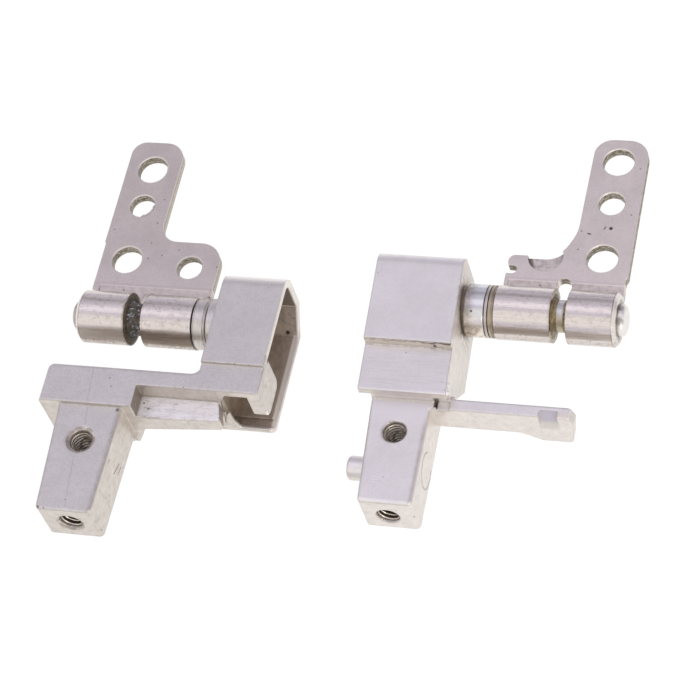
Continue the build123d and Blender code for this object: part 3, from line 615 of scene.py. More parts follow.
        # Cable channel, open at the left.
        side = x + (y + 6.46) * 0.057
        slope = (y - 1.95) * 0.768 - (z + 4.5) * 0.640
        front = (y + 7.2) * -0.760 - (z + 4.5) * 0.650
        room = paint.inside(((side, -18.72, -11.85), (y, -10.4, 3.85), (z, -3.8, 3.3)), 0.04)
        room = room * slope.ease(-0.3, -0.45) * front.ease(-0.25, -0.4)
        room = room * (1.0 - y.ease(-5.7, -5.9) * z.ease(2.1, 2.3))
        streak = paint.noise(at, 1.3, 4.0, 0.65, (2.2, 0.7, 0.7))
        cave = paint.mix(streak.ease(0.3, 0.7), tint(finish.channel, 0.8), tint(finish.channel, 1.45))
        tone = paint.mix(room, tone, cave)

        tone, mouths = tapped_holes(paint, at, "right", RIGHT, tone, mottle)
        dark = room * 0.25 - mouths * 0.18
        rough = finish.cast_rough + (grain - 0.5) * 0.14 + (mottle - 0.5) * 0.1 - boss * 0.2 + dark
        height = (height + plate * lines * 0.8) * (1.0 - boss * 0.85)
        paint.surface(tone, rough, 0.72 - root_light_and_shade * 0.6 - notch_shade * 0.4, height, 0.012, edge)
        dress("right_bracket", material)
        return {"FINISHED"}


class HINGE_OT_leaves(bpy.types.Operator):
    """Pickled steel on both leaves: brown cut edges, painted highlights along the edges and around the holes,
    painted shade at the fold, the neck, the recess and in every corner, polished and grimy rolled barrels with a
    painted reflection line
    """

    bl_idname = "hinge.leaves"
    bl_label = "Leaves"

    def execute(self, context):
        finish = context.scene.hinge_finish
        for node, origin, tag, dirt, lift, free_way, half_gap, free_end, (start, full), neck_tone, film in (
            ("left_leaf", LEFT, "left_sheet", 1.0, 1.05, -1.0, 0.96, 6.4, (0.905, 0.975),
             (0.44, 0.385, 0.37), (0.075, 0.060, 0.045)),
            ("right_leaf", RIGHT, "right_sheet", 0.55, 1.22, 1.0, 0.82, 5.9, (0.972, 0.998),
             (0.36, 0.31, 0.29), (0.12, 0.10, 0.05)),
        ):
            material, paint = new_paint(tag)
            at, x, y, z = paint.place(origin)
            away = far(y, z)
            barrel = away.ease(3.0, 2.82) * y.ease(3.3, 2.5)
            clouds = paint.noise(at, 0.3, 4.0)
            mottle = paint.noise(at, 1.5, 4.0, 0.62)
            drawn = paint.noise(at, 3.0, 3.0, 0.6, (0.12, 2.4, 2.4))
            grain = paint.noise(at, 9.0, 3.0, 0.6)
            pits = paint.specks(at, 0.62, 0.075, 0.3 * dirt - 0.12, "2D")
            colour = tint(finish.leaf, lift)
            tone = paint.mix(clouds.ease(0.3, 0.7), tint(colour, 0.95), tint(colour, 1.04))
            # Painted light: the sheet is lighter towards the fold.
            tone = paint.mix(y.ease(8.0, 5.0) * 0.8, tone, tint(colour, 1.1))
            tone = paint.mix(mottle.ease(0.42, 0.75) * 0.18, tone, tint(colour, 0.74))
            tone = paint.mix(grain.ease(0.4, 0.7) * 0.22, tone, tint(colour, 0.55))

            # Cut edges and hole walls, seen between the two faces of the sheet.
            cut = z.band(-1.54, -0.60, 0.03) * y.ease(4.6, 4.9)
            if node == "right_leaf":
                ring = far(x + 3.18, y - 7.45)
                sunk = ring.ease(1.82, 1.76) * z.band(-1.2, -0.55, 0.05)
                cut = cut * (1.0 - sunk)
                tone = paint.mix(sunk * mottle.ease(0.45, 0.62) * 0.4, tone, (0.30, 0.26, 0.21))
                # Painted shade at the foot of the recess wall, a painted highlight on its top edge, painted shade
                # on the wall and at the recess's left and right.
                tone = paint.mix(ring.band(1.70, 1.80, 0.04) * z.band(-1.2, -0.9, 0.05) * 0.6, tone, GRIME_AND_SHADE)
                tone = paint.mix(ring.band(1.86, 1.99, 0.04) * z.ease(-0.6, -0.52) * 0.45, tone, HIGHLIGHT_CREAM)
                recess_wall_shade = ring.band(1.79, 1.90, 0.02) * z.band(-1.02, -0.56, 0.03)
                tone = paint.mix(recess_wall_shade * 0.75, tone, tint(GRIME_AND_SHADE, 0.7))
                sink = z.band(-1.2, -0.56, 0.03) * ring.band(1.40, 1.88, 0.1)
                sides = (x + 3.18).ease(-0.9, -1.5) + (x + 3.18).ease(1.3, 1.7) * 0.6
                tone = paint.mix(sink * sides * 0.75, tone, tint(GRIME_AND_SHADE, 0.7))
            bores = None
            rims = []
            for hole in mounts("bore", node):
                spot_x, spot_y = (np.array(hole["pos_m"]) - origin)[:2] / MM
                radius = hole["dims"]["r_mm"]
                apart = far(x - spot_x, y - spot_y)
                rims.append(apart.band(radius + 0.02, radius + 0.2, 0.05))
                bore = apart.ease(radius + 0.3, radius + 0.15)
                bores = bore if bores is None else bores.most(bore)
            scaly = paint.noise(at, 2.6, 4.0, 0.7, (1.0, 1.0, 2.0))
            tone = paint.mix(cut * (0.55 + scaly.ease(0.35, 0.6) * 0.45), tone, tuple(finish.cut_edge))
            tone = paint.mix(cut * scaly.ease(0.50, 0.36) * 0.6, tone, (0.60, 0.54, 0.42))
            tone = paint.mix(cut * scaly.ease(0.60, 0.68) * 0.8, tone, SOOT_AND_SHADE)
            if node == "left_leaf":
                plain = cut * (1.0 - bores)
                tone = paint.mix(plain * 0.8, tone, (0.60, 0.55, 0.48))
                torn = z.band(-0.98, -0.84, 0.05) * scaly.ease(0.35, 0.5)
                tone = paint.mix(plain * torn * 0.7, tone, GRIME_AND_SHADE)
            # Painted highlights along the sheet's edges and around the holes.
            tone = paint.mix(paint.edges(0.11) * 0.45 * (1.0 - barrel) * y.ease(4.75, 5.0), tone, HIGHLIGHT_CREAM)
            for rim in rims:
                tone = paint.mix(rim * z.ease(-0.62, -0.56) * 0.5, tone, HIGHLIGHT_CREAM)
            # Painted shade along the fold and on the neck between the fold and the barrel.
            bend = y.band(4.42, 4.72, 0.1) * z.band(-0.75, -0.45, 0.1)
            tone = paint.mix(bend * 0.16, tone, tint(colour, 0.5))
            neck = y.ease(4.52, 4.38) * y.ease(2.4, 2.6) * z.band(-2.0, -0.52, 0.03)
            tone = paint.mix(neck * (0.45 + mottle.ease(0.35, 0.65) * 0.25), tone, neck_tone)

            # Rolled barrel: polished, lined along, brown below (partly dirt, partly a painted reflection of the
            # darker surroundings), with specks of dirt in its lower edge.
            polish = tuple(finish.barrel)
            tone = paint.mix(barrel, tone, polish)
            tone = paint.mix(barrel * drawn.ease(0.48, 0.7) * 0.30, tone, tint(polish, 0.6))
            low = (y * -0.957 + z * 0.292) / 2.8
            smear = paint.noise(at, 1.0, 5.0, 0.7, (0.35, 1.0, 1.0))
            lower_grime_and_reflection = barrel * (low + (smear - 0.5) * (1.0 - start)).ease(start, full)
            thick = 0.55 + (x * -free_way).ease(-1.0, 1.0) * 0.3 * dirt + (drawn - 0.5) * 0.5
            tone = paint.mix(lower_grime_and_reflection * thick, tone, (0.21, 0.155, 0.11))
            foot = barrel * z.ease(0.7, -0.6) * y.ease(0.0, -1.0)
            dots = paint.noise(at, 2.6, 4.0, 0.65).ease(0.50, 0.60)
            tone = paint.mix(foot * dots * (dirt * 1.1 - 0.3), tone, (0.12, 0.085, 0.06))
            blotch = paint.noise(at, 1.9, 5.0, 0.72)
            stained = barrel * blotch.ease(0.50, 0.64)
            tone = paint.mix(stained * (0.12 + 0.2 * dirt), tone, (0.40, 0.335, 0.27))
            tone = paint.mix(foot * (0.1 + 0.3 * dirt), tone, (0.34, 0.27, 0.20))
            belly = barrel * z.ease(1.5, 0.3) * y.ease(-0.8, -1.8)
            belly = belly * paint.specks(at, 1.5, 0.2, 0.5 * dirt - 0.1)
            tone = paint.mix(belly * 0.75, tone, (0.12, 0.085, 0.06))
            mouth = barrel * (abs(x) - half_gap).ease(0.30, 0.05)
            tone = paint.mix(mouth * mottle.ease(0.40, 0.6) * 0.6 * dirt, tone, (0.20, 0.16, 0.11))
            face = (abs(x) - half_gap).ease(0.05, 0.01) * paint.facing("X") * away.ease(2.85, 2.8)
            oily = paint.mix(grain.ease(0.42, 0.6), film, tint(film, 3.2))
            tone = paint.mix(face * 0.95, tone, oily)
            brow = barrel * (x * free_way - free_end + 0.36).band(-0.07, 0.05, 0.05)
            tone = paint.mix(brow * (0.25 + mottle.ease(0.4, 0.6) * 0.4), tone, (0.22, 0.18, 0.13))
            out = (x * free_way).ease(free_end - 0.12, free_end - 0.03) * away.ease(2.4, 1.9)
            tone = paint.mix(out * (0.55 + mottle.ease(0.35, 0.6) * 0.45), tone, (0.19, 0.155, 0.08))
            # Painted shade in every corner and gap.
            tone = paint.mix(paint.corners(0.5) * 0.6, tone, tint(GRIME_AND_SHADE, 0.6))
            tone = paint.mix(pits * 0.65 * (1.0 - barrel), tone, (0.10, 0.09, 0.085))
            if node == "right_leaf":
                # Painted reflection: a thin dark horizon line along the middle of the right barrel's upper half.
                rolled = barrel * z.ease(0.0, 0.5)
                rolled = rolled * (low + 0.06 + (smear - 0.5) * 0.02).band(-0.010, 0.010, 0.012)
                tone = paint.mix(rolled * (0.35 + drawn * 0.4), tone, (0.30, 0.25, 0.22))
                smudge = mottle.ease(0.3, 0.6)
                dash = x.band(0.68, 1.08, 0.05) * (y - 10.52 + (x - 0.88) * 0.2).band(-0.08, 0.08, 0.04)
                nick = y.band(11.16, 11.56, 0.06) * (x - 2.4 - (y - 11.36) * 0.3).band(-0.08, 0.08, 0.04)
                for mark in (nick, paint.spot(at, (3.03, 11.34, -0.5), 0.2), dash):
                    tone = paint.mix(mark * z.ease(-0.7, -0.55) * (0.5 + smudge * 0.5), tone, SOOT_AND_SHADE)
            rough = finish.sheet_rough - barrel * (0.21 - 0.07 * dirt)
            rough = rough + (mottle - 0.5) * 0.12 + lower_grime_and_reflection * 0.25 + cut * 0.1
            height = barrel * (drawn * 0.6 + blotch * (1.6 * dirt - 0.7))
            height = height + grain * 0.5 + mottle * 0.3 - pits * 2.0
            paint.surface(tone, rough, 0.82, height, 0.010, 0.08)
            dress(node, material)
        return {"FINISHED"}


class HINGE_OT_pins(bpy.types.Operator):
    """Turned steel on the pins and the rings, oily in the gaps, with painted shade under the gaps and in every
    corner and a painted highlight on the right pin
    """

    bl_idname = "hinge.pins"
    bl_label = "Pins and rings"

    def execute(self, context):
        finish = context.scene.hinge_finish
        left_gap_shades = ((6.48, 6.82), (7.76, 8.2))
        right_gap_shades = ((-6.94, -6.60), (-7.32, -7.20), (-7.72, -7.59))
        right_nodes = ("right_shaft", "right_ring_inner", "right_ring_outer")
        for nodes, origin, tag, oil, share, gap_shade_spans in (
            (("left_shaft", "left_ring"), LEFT, "left_pin_steel", finish.dark_grease, 0.6, left_gap_shades),
            (right_nodes, RIGHT, "right_pin_steel", finish.amber_grease, 0.25, right_gap_shades),
        ):
            material, paint = new_paint(tag)
            at, x, y, z = paint.place(origin)
            turned = paint.noise(at, 4.0, 3.0, 0.6, (3.0, 0.3, 0.3))
            mottle = paint.noise(at, 1.6, 4.0, 0.65)
            colour = tuple(finish.pin)
            tone = paint.mix(turned.ease(0.3, 0.75), tint(colour, 1.06), tint(colour, 0.80))
            tone = paint.mix(mottle.ease(0.5, 0.8) * 0.3, tone, (0.36, 0.31, 0.25))
            gap = x.band(-0.97, 0.97, 0.05)
            tone = paint.mix(gap * mottle.ease(0.35, 0.6) * share, tone, tuple(oil))
            # Painted shade on the pin under the gaps beside the knuckles, rings and boss.
            for low, high in gap_shade_spans:
                tone = paint.mix(x.band(low, high, 0.02) * far(y, z).ease(1.8, 1.7) * 0.95, tone, SOOT_AND_SHADE)
            if tag == "left_pin_steel":
                tone = paint.mix(x.ease(-6.4, -6.5) * (0.3 + mottle * 0.4), tone, (0.34, 0.30, 0.27))
            if tag == "right_pin_steel":
                rim_oil = x.band(-0.9, -0.45, 0.12) + x.band(0.32, 0.95, 0.14)
                tone = paint.mix(rim_oil * (0.5 + mottle * 0.4), tone, (0.30, 0.245, 0.13))
                # Painted highlight: a bluish-white patch on the upper middle of the pin in the gap; amber towards
                # the bottom.
                upper = y * 0.6 + z * 0.8
                pale = x.band(-0.38, 0.22, 0.15) * upper.ease(0.2, 1.1)
                tone = paint.mix(pale * 0.5, tone, (0.84, 0.87, 0.95))
                amber = gap * upper.ease(1.0, 0.0)
                tone = paint.mix(amber * (0.45 + mottle * 0.3), tone, (0.42, 0.35, 0.19))
                tone = paint.mix(x.ease(5.85, 5.95) * 0.6, tone, (0.92, 0.89, 0.86))
                tone = paint.mix(x.band(-7.26, -6.85, 0.03) * 0.75, tone, (0.40, 0.32, 0.21))
                tone = paint.mix(x.band(-7.7, -7.28, 0.03) * 0.4, tone, (0.45, 0.39, 0.32))
                for centre, radius in (((6.02, 0.55, 1.56), 0.40), ((6.17, -1.0, 1.32), 0.42)):
                    blot = paint.spot(at, centre, radius, 0.5) * mottle.ease(0.30, 0.50)
                    tone = paint.mix(blot * 0.6, tone, (0.10, 0.085, 0.085))
            # Painted shade in every corner and gap.
            tone = paint.mix(paint.corners(0.5) * 0.8, tone, tint(GRIME_AND_SHADE, 0.6))
            tone = paint.mix(paint.edges(0.12) * mottle.ease(0.35, 0.6) * 0.6, tone, GRIME_AND_SHADE)
            rough = 0.30 + turned * 0.14
            paint.surface(tone, rough, 0.85, turned, 0.008, 0.07)
            for node in nodes:
                dress(node, material)
        return {"FINISHED"}


def thread_turns(name, mouth, inward, wall, length, pitch, crest):
    """Helical ridge on the wall of a round hole.

    A four-point profile, wide at the wall and narrow at the crest, is carried along
    (wall cos t, wall sin t, pitch t / 2 pi), with the last part of the sum along the hole's axis.
    """
    turns = length / pitch - 1.0
    t = np.linspace(0.0, 2 * math.pi * turns, int(40 * turns))[:, None]
    sink = 0.03 * MM
    radius = np.array([wall + sink, wall - crest, wall - crest, wall + sink])[None, :]
    shift = np.array([-0.44, -0.10, 0.10, 0.44])[None, :] * pitch
    along = pitch * (t / (2 * math.pi) + 0.45) + shift
    inward = np.array(inward, float)
    side = np.array([1.0, 0.0, 0.0])
    other = np.cross(inward, side)
    grid = (
        np.array(mouth, float)
        + (radius * np.cos(t))[..., None] * side
        + (radius * np.sin(t))[..., None] * other
        + along[..., None] * inward
    )
    return surface(name, grid, wrap_v=True, caps=True)


class HINGE_OT_threads(bpy.types.Operator):
    """Thread turns in the four tapped holes of the posts"""

    bl_idname = "hinge.threads"
    bl_label = "Thread turns"

    def execute(self, context):
        sizes = context.scene.hinge_sizes
        for tag, origin in (("left", LEFT), ("right", RIGHT)):
            material, paint = new_paint(tag + "_tapped_thread")
            at = paint.place(origin)[0]
            wear_and_shade = paint.noise(at, 3.0, 3.0)
            tone = paint.mix(wear_and_shade.ease(0.3, 0.7), (0.62, 0.53, 0.45), (0.95, 0.88, 0.80))
            crest = sizes.crest / MM
            for hole in threaded(tag):
                rel = paint.vector("SUBTRACT", at, tuple((np.array(hole["pos_m"]) - origin) / MM))
                away = paint.vector("LENGTH", paint.vector("CROSS_PRODUCT", rel, tuple(hole["axis"])), out=1)
                wall = hole["dims"]["r_mm"]
                # Painted shade in the roots between the thread turns.
                root_light_and_shade = away.ease(wall - crest * 0.85, wall - crest * 0.45)
                root_light_and_shade = root_light_and_shade * away.ease(wall + 0.2, wall + 0.1)
                tone = paint.mix(root_light_and_shade * 0.85, tone, (0.15, 0.12, 0.095))
            paint.surface(tone, 0.24 + wear_and_shade * 0.15, 0.85, wear_and_shade, 0.008)
            for hole in threaded(tag):
                axis = np.array(hole["axis"], float)
                length = hole["dims"]["length_mm"] * MM
                mouth = np.array(hole["pos_m"]) + axis * length / 2
                wall = hole["dims"]["r_mm"] * MM
                name = hole["name"] + "_turns"
                piece = thread_turns(name, mouth, -axis, wall, length, sizes.pitch, sizes.crest)
                finish_piece(piece, material, "base")
        return {"FINISHED"}


def grease_collar(name, origin, pin, half, film, rise, lip, seed):
    """Uneven sleeve of grease on a pin between two knuckles.

    The radius is the pin's, plus a film, plus a rise that grows towards both ends as
    exp(-(half - |x|) / lip), times one plus a ripple over the angle and the length.
    The section closes under the pin's surface.
    """
    angle = np.linspace(0.0, 2 * math.pi, 121)[:-1, None]
    x = np.linspace(-half, half, 33)[None, :]
    swell = rise * np.exp(-(half - np.abs(x)) / lip)
    uneven = 1.0 + 0.5 * ripple(angle, x / (0.35 * MM), seed)
    outer = pin + film + swell * np.clip(uneven, 0.15, 2.0)
    inner = np.full_like(outer[:, :2], pin - 0.05 * MM)
    radius = np.concatenate([outer, inner], axis=1)
    ends = np.array([[half, -half]])
    along = np.concatenate([x, ends], axis=1) * np.ones_like(angle)
    grid = np.stack([along, radius * np.cos(angle), radius * np.sin(angle)], axis=-1) + origin
    return surface(name, grid, wrap_u=True, wrap_v=True)


def grease_ring(name, origin, face, out, inner, outer, thick, seed):
    """Smeared ring of grease on the end face of a knuckle.

    Radius runs from inner to a ragged outer edge, outer (1 + ripple); the thickness is a half sine
    across it, and the last row closes the section inside the face. out is +1 or -1 along the pin.
    """
    angle = np.linspace(0.0, 2 * math.pi, 121)[:-1, None]
    part = np.linspace(0.0, 1.0, 9)[None, :]
    edge = outer * (1.0 + 0.07 * ripple(angle, 0.0 * angle, seed))
    radius = inner + (edge - inner) * part
    high = thick * np.sin(math.pi * part) * (1.0 + 0.5 * ripple(angle, part * 3.0, seed + 1))
    radius = np.concatenate([radius, edge, np.full_like(edge, inner)], axis=1)
    sunk = np.full_like(edge, -0.03 * MM)
    along = face + out * np.concatenate([np.maximum(high, 0.004 * MM), sunk, sunk], axis=1)
    grid = np.stack([along, radius * np.cos(angle), radius * np.sin(angle)], axis=-1) + origin
    return surface(name, grid, wrap_u=True, wrap_v=True)


class HINGE_OT_grease(bpy.types.Operator):
    """Old grease on the pins and the knuckle ends, in the gaps between the knuckles"""

    bl_idname = "hinge.grease"
    bl_label = "Grease"

    def execute(self, context):
        finish = context.scene.hinge_finish
        pin = (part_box("left_shaft")[1].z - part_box("left_shaft")[0].z) / 2
        greases = {}
        for name, origin, colour, pale, rust, shine in (
            ("dark_grease", LEFT, finish.dark_grease, (0.30, 0.27, 0.19), 0.9, 0.06),
            ("grey_grease", LEFT, (0.06, 0.06, 0.056), (0.92, 0.92, 0.95), 0.4, 0.35),
            ("amber_grease", RIGHT, finish.amber_grease, (0.46, 0.40, 0.26), 0.85, 0.3),
        ):
            greases[name], paint = new_paint(name)
            at = paint.place(origin)[0]
            lumps = paint.noise(at, 1.3, 5.0, 0.75)
            fine = paint.noise(at, 2.8, 5.0, 0.75)
            tone = paint.mix(lumps.ease(0.40, 0.60), tint(colour, 0.4), tint(colour, 2.2))
            tone = paint.mix(fine.ease(0.50, 0.56) * rust, tone, (0.29, 0.19, 0.11))
            # Light flecks: on the grey grease they are near-white painted glints.
            tone = paint.mix(fine.ease(0.47, 0.39) * lumps.ease(0.62, 0.48) * 0.85, tone, pale)
            paint.surface(tone, 0.18 + lumps * 0.3, 0.05, lumps + fine * 0.8, 0.22, shine=shine)
        piece = grease_collar("left_gap_grease", LEFT, pin, 0.93 * MM, 0.04 * MM, 0.22 * MM, 0.30 * MM, 3)
        finish_piece(piece, greases["grey_grease"], "base")
        piece = grease_collar("right_gap_grease", RIGHT, pin, 0.79 * MM, -0.02 * MM, 0.34 * MM, 0.15 * MM, 5)
        finish_piece(piece, greases["amber_grease"], "base")
        for name, origin, colour in (
            ("left_seam_grease", LEFT, (0.62, 0.58, 0.55)),
            ("right_seam_grease", RIGHT, (0.40, 0.345, 0.25)),
        ):
            greases[name], paint = new_paint(name)
            at = paint.place(origin)[0]
            lumps = paint.noise(at, 1.3, 5.0, 0.75)
            tone = paint.mix(lumps.ease(0.3, 0.7), tint(colour, 0.8), tint(colour, 1.1))
            paint.surface(tone, 0.32, 0.7, lumps, 0.02)
        for name, origin, low, high in (
            ("left_ring_grease", LEFT, 6.65, 6.85), ("left_boss_grease", LEFT, 7.74, 7.99),
            ("right_ring_grease", RIGHT, -6.96, -6.73),
        ):
            middle = origin + np.array([(low + high) / 2 * MM, 0.0, 0.0])
            piece = grease_collar(name, middle, pin, (high - low) / 2 * MM, 0.96 * MM, 0.05 * MM, 0.1 * MM, 6)
            finish_piece(piece, greases[name.split("_")[0] + "_seam_grease"], "base")
        piece = grease_ring("left_knuckle_smear", LEFT, -0.96 * MM, 1.0, 1.72 * MM, 2.66 * MM, 0.10 * MM, 2)
        finish_piece(piece, greases["dark_grease"], "left_lid_leaf")
        piece = grease_ring("right_knuckle_smear", RIGHT, -0.82 * MM, 1.0, 1.72 * MM, 2.3 * MM, 0.05 * MM, 4)
        finish_piece(piece, greases["amber_grease"], "right_lid_leaf")
        return {"FINISHED"}


def bead(name, path, across, up, width, height):
    """Low ridge along a path.

    At each path point the section is (p, 1 - 4 p p) for p from -0.5 to 0.5, scaled by the width
    along across and by the height along up, and closed by two points sunk below the surface.
    """
    p = np.array([-0.5, -0.3, -0.1, 0.1, 0.3, 0.5, 0.5, -0.5])
    rise = 1.0 - 4.0 * p * p
    sunk = np.array([0.01, 0.01, 0.01, 0.01, 0.01, 0.01, 0.06, 0.06]) * MM
    grid = (
        path[:, None, :]
        + (width[:, None] * p[None, :])[..., None] * across
        + (height[:, None] * rise[None, :] - sunk[None, :])[..., None] * up
    )
    return surface(name, grid, wrap_v=True, caps=True)


def ragged(count, seed, low, high):
    """Uneven share along a path: a ripple scaled into low to high, fading out at both ends."""
    t = np.linspace(0.0, 1.0, count)
    wave = ripple(t * 40.0, t * 9.0, seed, 11)
    fade = np.clip(np.sin(math.pi * t) * 6.0, 0.02, 1.0)
    return np.clip(low + (high - low) * (0.5 + 0.7 * wave), 0.02 * high, 1.3 * high) * fade


def straight(origin, start, end, count):
    t = np.linspace(0.0, 1.0, count)[:, None]
    return origin + ((1.0 - t) * np.array(start) + t * np.array(end)) * MM


class HINGE_OT_marks(bpy.types.Operator):
    """Casting and cutting marks: parting line, torn step edge, flash, mould ring and hole burr"""

    bl_idname = "hinge.marks"
    bl_label = "Casting marks"

    def execute(self, context):
        finish = context.scene.hinge_finish
        marks = {}
        for name, origin, colour in (
            ("right_mark_zinc", RIGHT, finish.right_cast),
            ("burr_steel", LEFT, finish.leaf), ("scar_zinc", LEFT, (0.34, 0.295, 0.25)),
            ("seam_zinc", LEFT, tint(finish.left_cast, 0.84)),
            ("slit_zinc", LEFT, tint(finish.channel, 1.1)),
            ("ring_zinc", RIGHT, tint(finish.right_cast, 0.62)),
        ):
            marks[name], paint = new_paint(name)
            at = paint.place(origin)[0]
            mottle = paint.noise(at, 2.4, 4.0, 0.65)
            tone = paint.mix(mottle.ease(0.3, 0.7), tint(colour, 0.8), tint(colour, 1.1))
            tone = paint.mix(mottle.ease(0.55, 0.7) * 0.5, tone, GRIME_AND_SHADE)
            paint.surface(tone, 0.38 + mottle * 0.2, 0.7, mottle, 0.02)
        x_way, y_way, z_way = np.eye(3)

        for name, start, end in (
            ("left_arm_parting_line", (-1.97, -8.3, 3.62), (-1.62, -12.3, 3.62)),
            ("left_post_parting_line", (-1.61, -12.55, 3.12), (-1.34, -14.85, 3.12)),
            ("left_tip_parting_line", (-1.56, -18.3, 3.12), (-0.91, -24.4, 3.12)),
        ):
            path = straight(LEFT, start, end, 60)
            width = ragged(60, 2, 0.05, 0.13) * MM
            piece = bead(name, path, x_way, z_way, width, ragged(60, 4, 0.02, 0.05) * MM)
            finish_piece(piece, marks["seam_zinc"], "base")

        for name, start, end in (
            ("left_post_scar", (1.95, -16.93, -0.47), (1.93, -18.73, 0.23)),
            ("left_post_scar_short", (1.95, -17.0, -1.07), (1.93, -18.1, -0.88)),
        ):
            path = straight(LEFT, start, end, 40)
            width = ragged(40, 4, 0.10, 0.26) * MM
            piece = bead(name, path, z_way, x_way, width, ragged(40, 5, 0.05, 0.10) * MM)
            finish_piece(piece, marks["scar_zinc"], "base")

        path = straight(LEFT, (11.4, -9.72, -3.1), (11.4, -9.72, -1.0), 30)
        width = np.linspace(0.9, 0.5, 30) * MM
        piece = bead("left_slit_film", path, x_way, -y_way, width, ragged(30, 6, 0.05, 0.12) * MM)
        finish_piece(piece, marks["slit_zinc"], "base")

        path = straight(RIGHT, (-18.7, -6.47, 3.97), (-9.85, -6.47, 3.97), 240)
        slant = (y_way - z_way) / math.sqrt(2)
        width = ragged(240, 3, 0.10, 0.20) * MM
        piece = bead("right_step_burr", path, slant, -slant, width, ragged(240, 6, 0.02, 0.11) * MM)
        finish_piece(piece, marks["right_mark_zinc"], "base")

        path = straight(RIGHT, (-9.56, -10.3, 2.6), (-9.47, -11.7, 2.6), 40)
        width = ragged(40, 7, 0.5, 0.75) * MM
        piece = bead("right_plate_flash", path, z_way, x_way, width, ragged(40, 8, 0.22, 0.42) * MM)
        finish_piece(piece, marks["right_mark_zinc"], "base")

        angle = np.linspace(0.2, 2 * math.pi - 0.9, 160)
        radius = 1.85
        ring_y = -17.8 + radius * np.cos(angle)
        ring_z = -2.25 + radius * np.sin(angle)
        ring_x = -11.35 + 0.3 * (-11.88 - ring_y) / 11.46
        path = RIGHT + np.stack([ring_x, ring_y, ring_z], axis=-1) * MM
        across = np.stack([np.zeros_like(angle), np.cos(angle), np.sin(angle)], axis=-1)[:, None, :]
        width = ragged(160, 9, 0.14, 0.3) * MM
        piece = bead("right_mould_ring", path, across, x_way, width, ragged(160, 10, 0.03, 0.08) * MM)
        finish_piece(piece, marks["ring_zinc"], "base")

        angle = np.linspace(-1.45, 0.15, 60)
        bore = 1.36
        arc = [-3.84 + bore * np.cos(angle), 14.7 + bore * np.sin(angle), 0 * angle - 0.53]
        path = LEFT + np.stack(arc, axis=-1) * MM
        inward = -np.stack([np.cos(angle), np.sin(angle), 0 * angle], axis=-1)[:, None, :]
        width = ragged(60, 11, 0.08, 0.16) * MM
        piece = bead("left_hole_burr", path, z_way, inward, width, ragged(60, 12, 0.05, 0.24) * MM)
        finish_piece(piece, marks["burr_steel"], "left_lid_leaf")
        return {"FINISHED"}


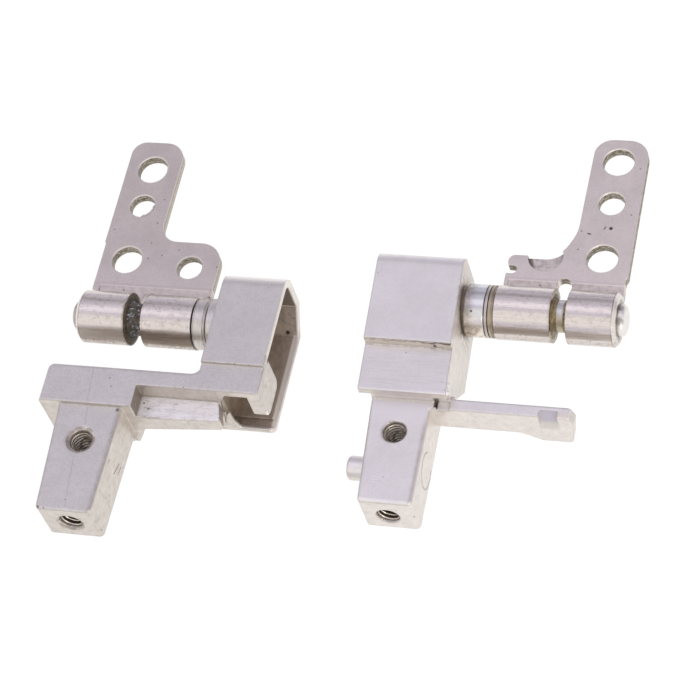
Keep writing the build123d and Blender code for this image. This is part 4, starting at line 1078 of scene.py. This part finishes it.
class HINGE_OT_stage(bpy.types.Operator):
    """White floor, studio sky with two soft panels, one small lamp and the camera"""

    bl_idname = "hinge.stage"
    bl_label = "Stage"

    def execute(self, context):
        scene = context.scene
        stage = scene.hinge_stage
        scene.view_settings.view_transform = "Standard"

        span = np.linspace(-1.5, 1.5, 2)
        across, deep = np.meshgrid(span, span, indexing="ij")
        floor = surface("floor", np.stack([across, deep, np.full_like(across, -0.02 * MM)], axis=-1))
        material, paint = new_paint("white_floor")
        rays = ("Is Camera Ray", "Is Glossy Ray", "Is Transmission Ray")
        camera_ray, glossy_ray, clear_ray = paint.node("ShaderNodeLightPath", out=rays)
        seen = camera_ray.most(glossy_ray).most(clear_ray)
        paper = paint.node("ShaderNodeBsdfDiffuse", {}, {"Color": (0.9, 0.9, 0.9)})
        glow = {"Color": (1.0, 1.0, 1.0), "Strength": 1.0 / stage.floor_white}
        white = paint.node("ShaderNodeEmission", {}, glow)
        both = paint.node("ShaderNodeMixShader", {}, {0: seen * stage.floor_white, 1: paper, 2: white})
        paint.node("ShaderNodeOutputMaterial", {}, {0: both})
        floor.data.materials.append(material)

        world = bpy.data.worlds.new("studio_sky")
        world.use_nodes = True
        paint = Paint(world.node_tree)
        toward = paint.node("ShaderNodeTexCoord", out=0)
        x, y, z = paint.node("ShaderNodeSeparateXYZ", {}, {0: toward}, (0, 1, 2))
        pitch = (y * -1.0).math("ARCTAN2", z)
        sky = paint.mix(pitch.band(-1.05, -0.74, 0.09), tuple(stage.sky), tuple(stage.dusk))
        sky = paint.mix(pitch.band(-0.30, 0.13, 0.10), sky, tuple(stage.overhead))
        sky = paint.mix(pitch.band(0.40, 1.28, 0.12), sky, tuple(stage.front))
        sky = paint.mix(abs(x).ease(0.80, 0.97), sky, tuple(stage.front))
        sky = paint.node("ShaderNodeBackground", {}, {"Color": sky, "Strength": 1.0})
        paint.node("ShaderNodeOutputWorld", {}, {0: sky})
        scene.world = world

        lamp = bpy.data.lights.new("key_lamp", "AREA")
        lamp.energy = stage.key_power
        lamp.size = 0.22
        lamp.color = (1.0, 0.94, 0.84)
        key = bpy.data.objects.new("key_lamp", lamp)
        place = np.array([0.36, -0.36, 0.13])
        key.location = place
        key.rotation_euler = (math.atan2(math.hypot(place[0], place[1]), place[2]), 0.0,
                              math.atan2(place[1], place[0]) + math.pi / 2)
        scene.collection.objects.link(key)

        camera = bpy.data.cameras.new("camera")
        camera.sensor_width = 36.0
        camera.lens = stage.lens
        camera.clip_start = 0.01
        camera.clip_end = 10.0
        eye = bpy.data.objects.new("camera", camera)
        eye.location = stage.camera_place
        eye.rotation_euler = stage.camera_turn
        scene.collection.objects.link(eye)
        scene.camera = eye
        return {"FINISHED"}


STEPS = (
    HINGE_OT_left_casting,
    HINGE_OT_right_casting,
    HINGE_OT_leaves,
    HINGE_OT_pins,
    HINGE_OT_threads,
    HINGE_OT_grease,
    HINGE_OT_marks,
    HINGE_OT_stage,
)


class HINGE_PT_panel(bpy.types.Panel):
    """Lists the steps in the 3D view's sidebar"""

    bl_label = "Laptop hinges"
    bl_space_type = "VIEW_3D"
    bl_region_type = "UI"
    bl_category = "Hinges"

    def draw(self, context):
        for step in STEPS:
            self.layout.operator(step.bl_idname)
        for group in ("hinge_finish", "hinge_sizes", "hinge_stage"):
            values = getattr(context.scene, group)
            for name in values.__annotations__:
                self.layout.prop(values, name)


GROUPS = {"hinge_finish": HingeFinish, "hinge_sizes": HingeSizes, "hinge_stage": HingeStage}


def register():
    for kind in (*GROUPS.values(), *STEPS, HINGE_PT_panel):
        bpy.utils.register_class(kind)
    for name, kind in GROUPS.items():
        setattr(bpy.types.Scene, name, bpy.props.PointerProperty(type=kind))


def unregister():
    for name in GROUPS:
        delattr(bpy.types.Scene, name)
    for kind in reversed((*GROUPS.values(), *STEPS, HINGE_PT_panel)):
        bpy.utils.unregister_class(kind)


def main():
    register()
    for step in STEPS:
        family, name = step.bl_idname.split(".")
        getattr(getattr(bpy.ops, family), name)()


if __name__ == "__main__":
    main()
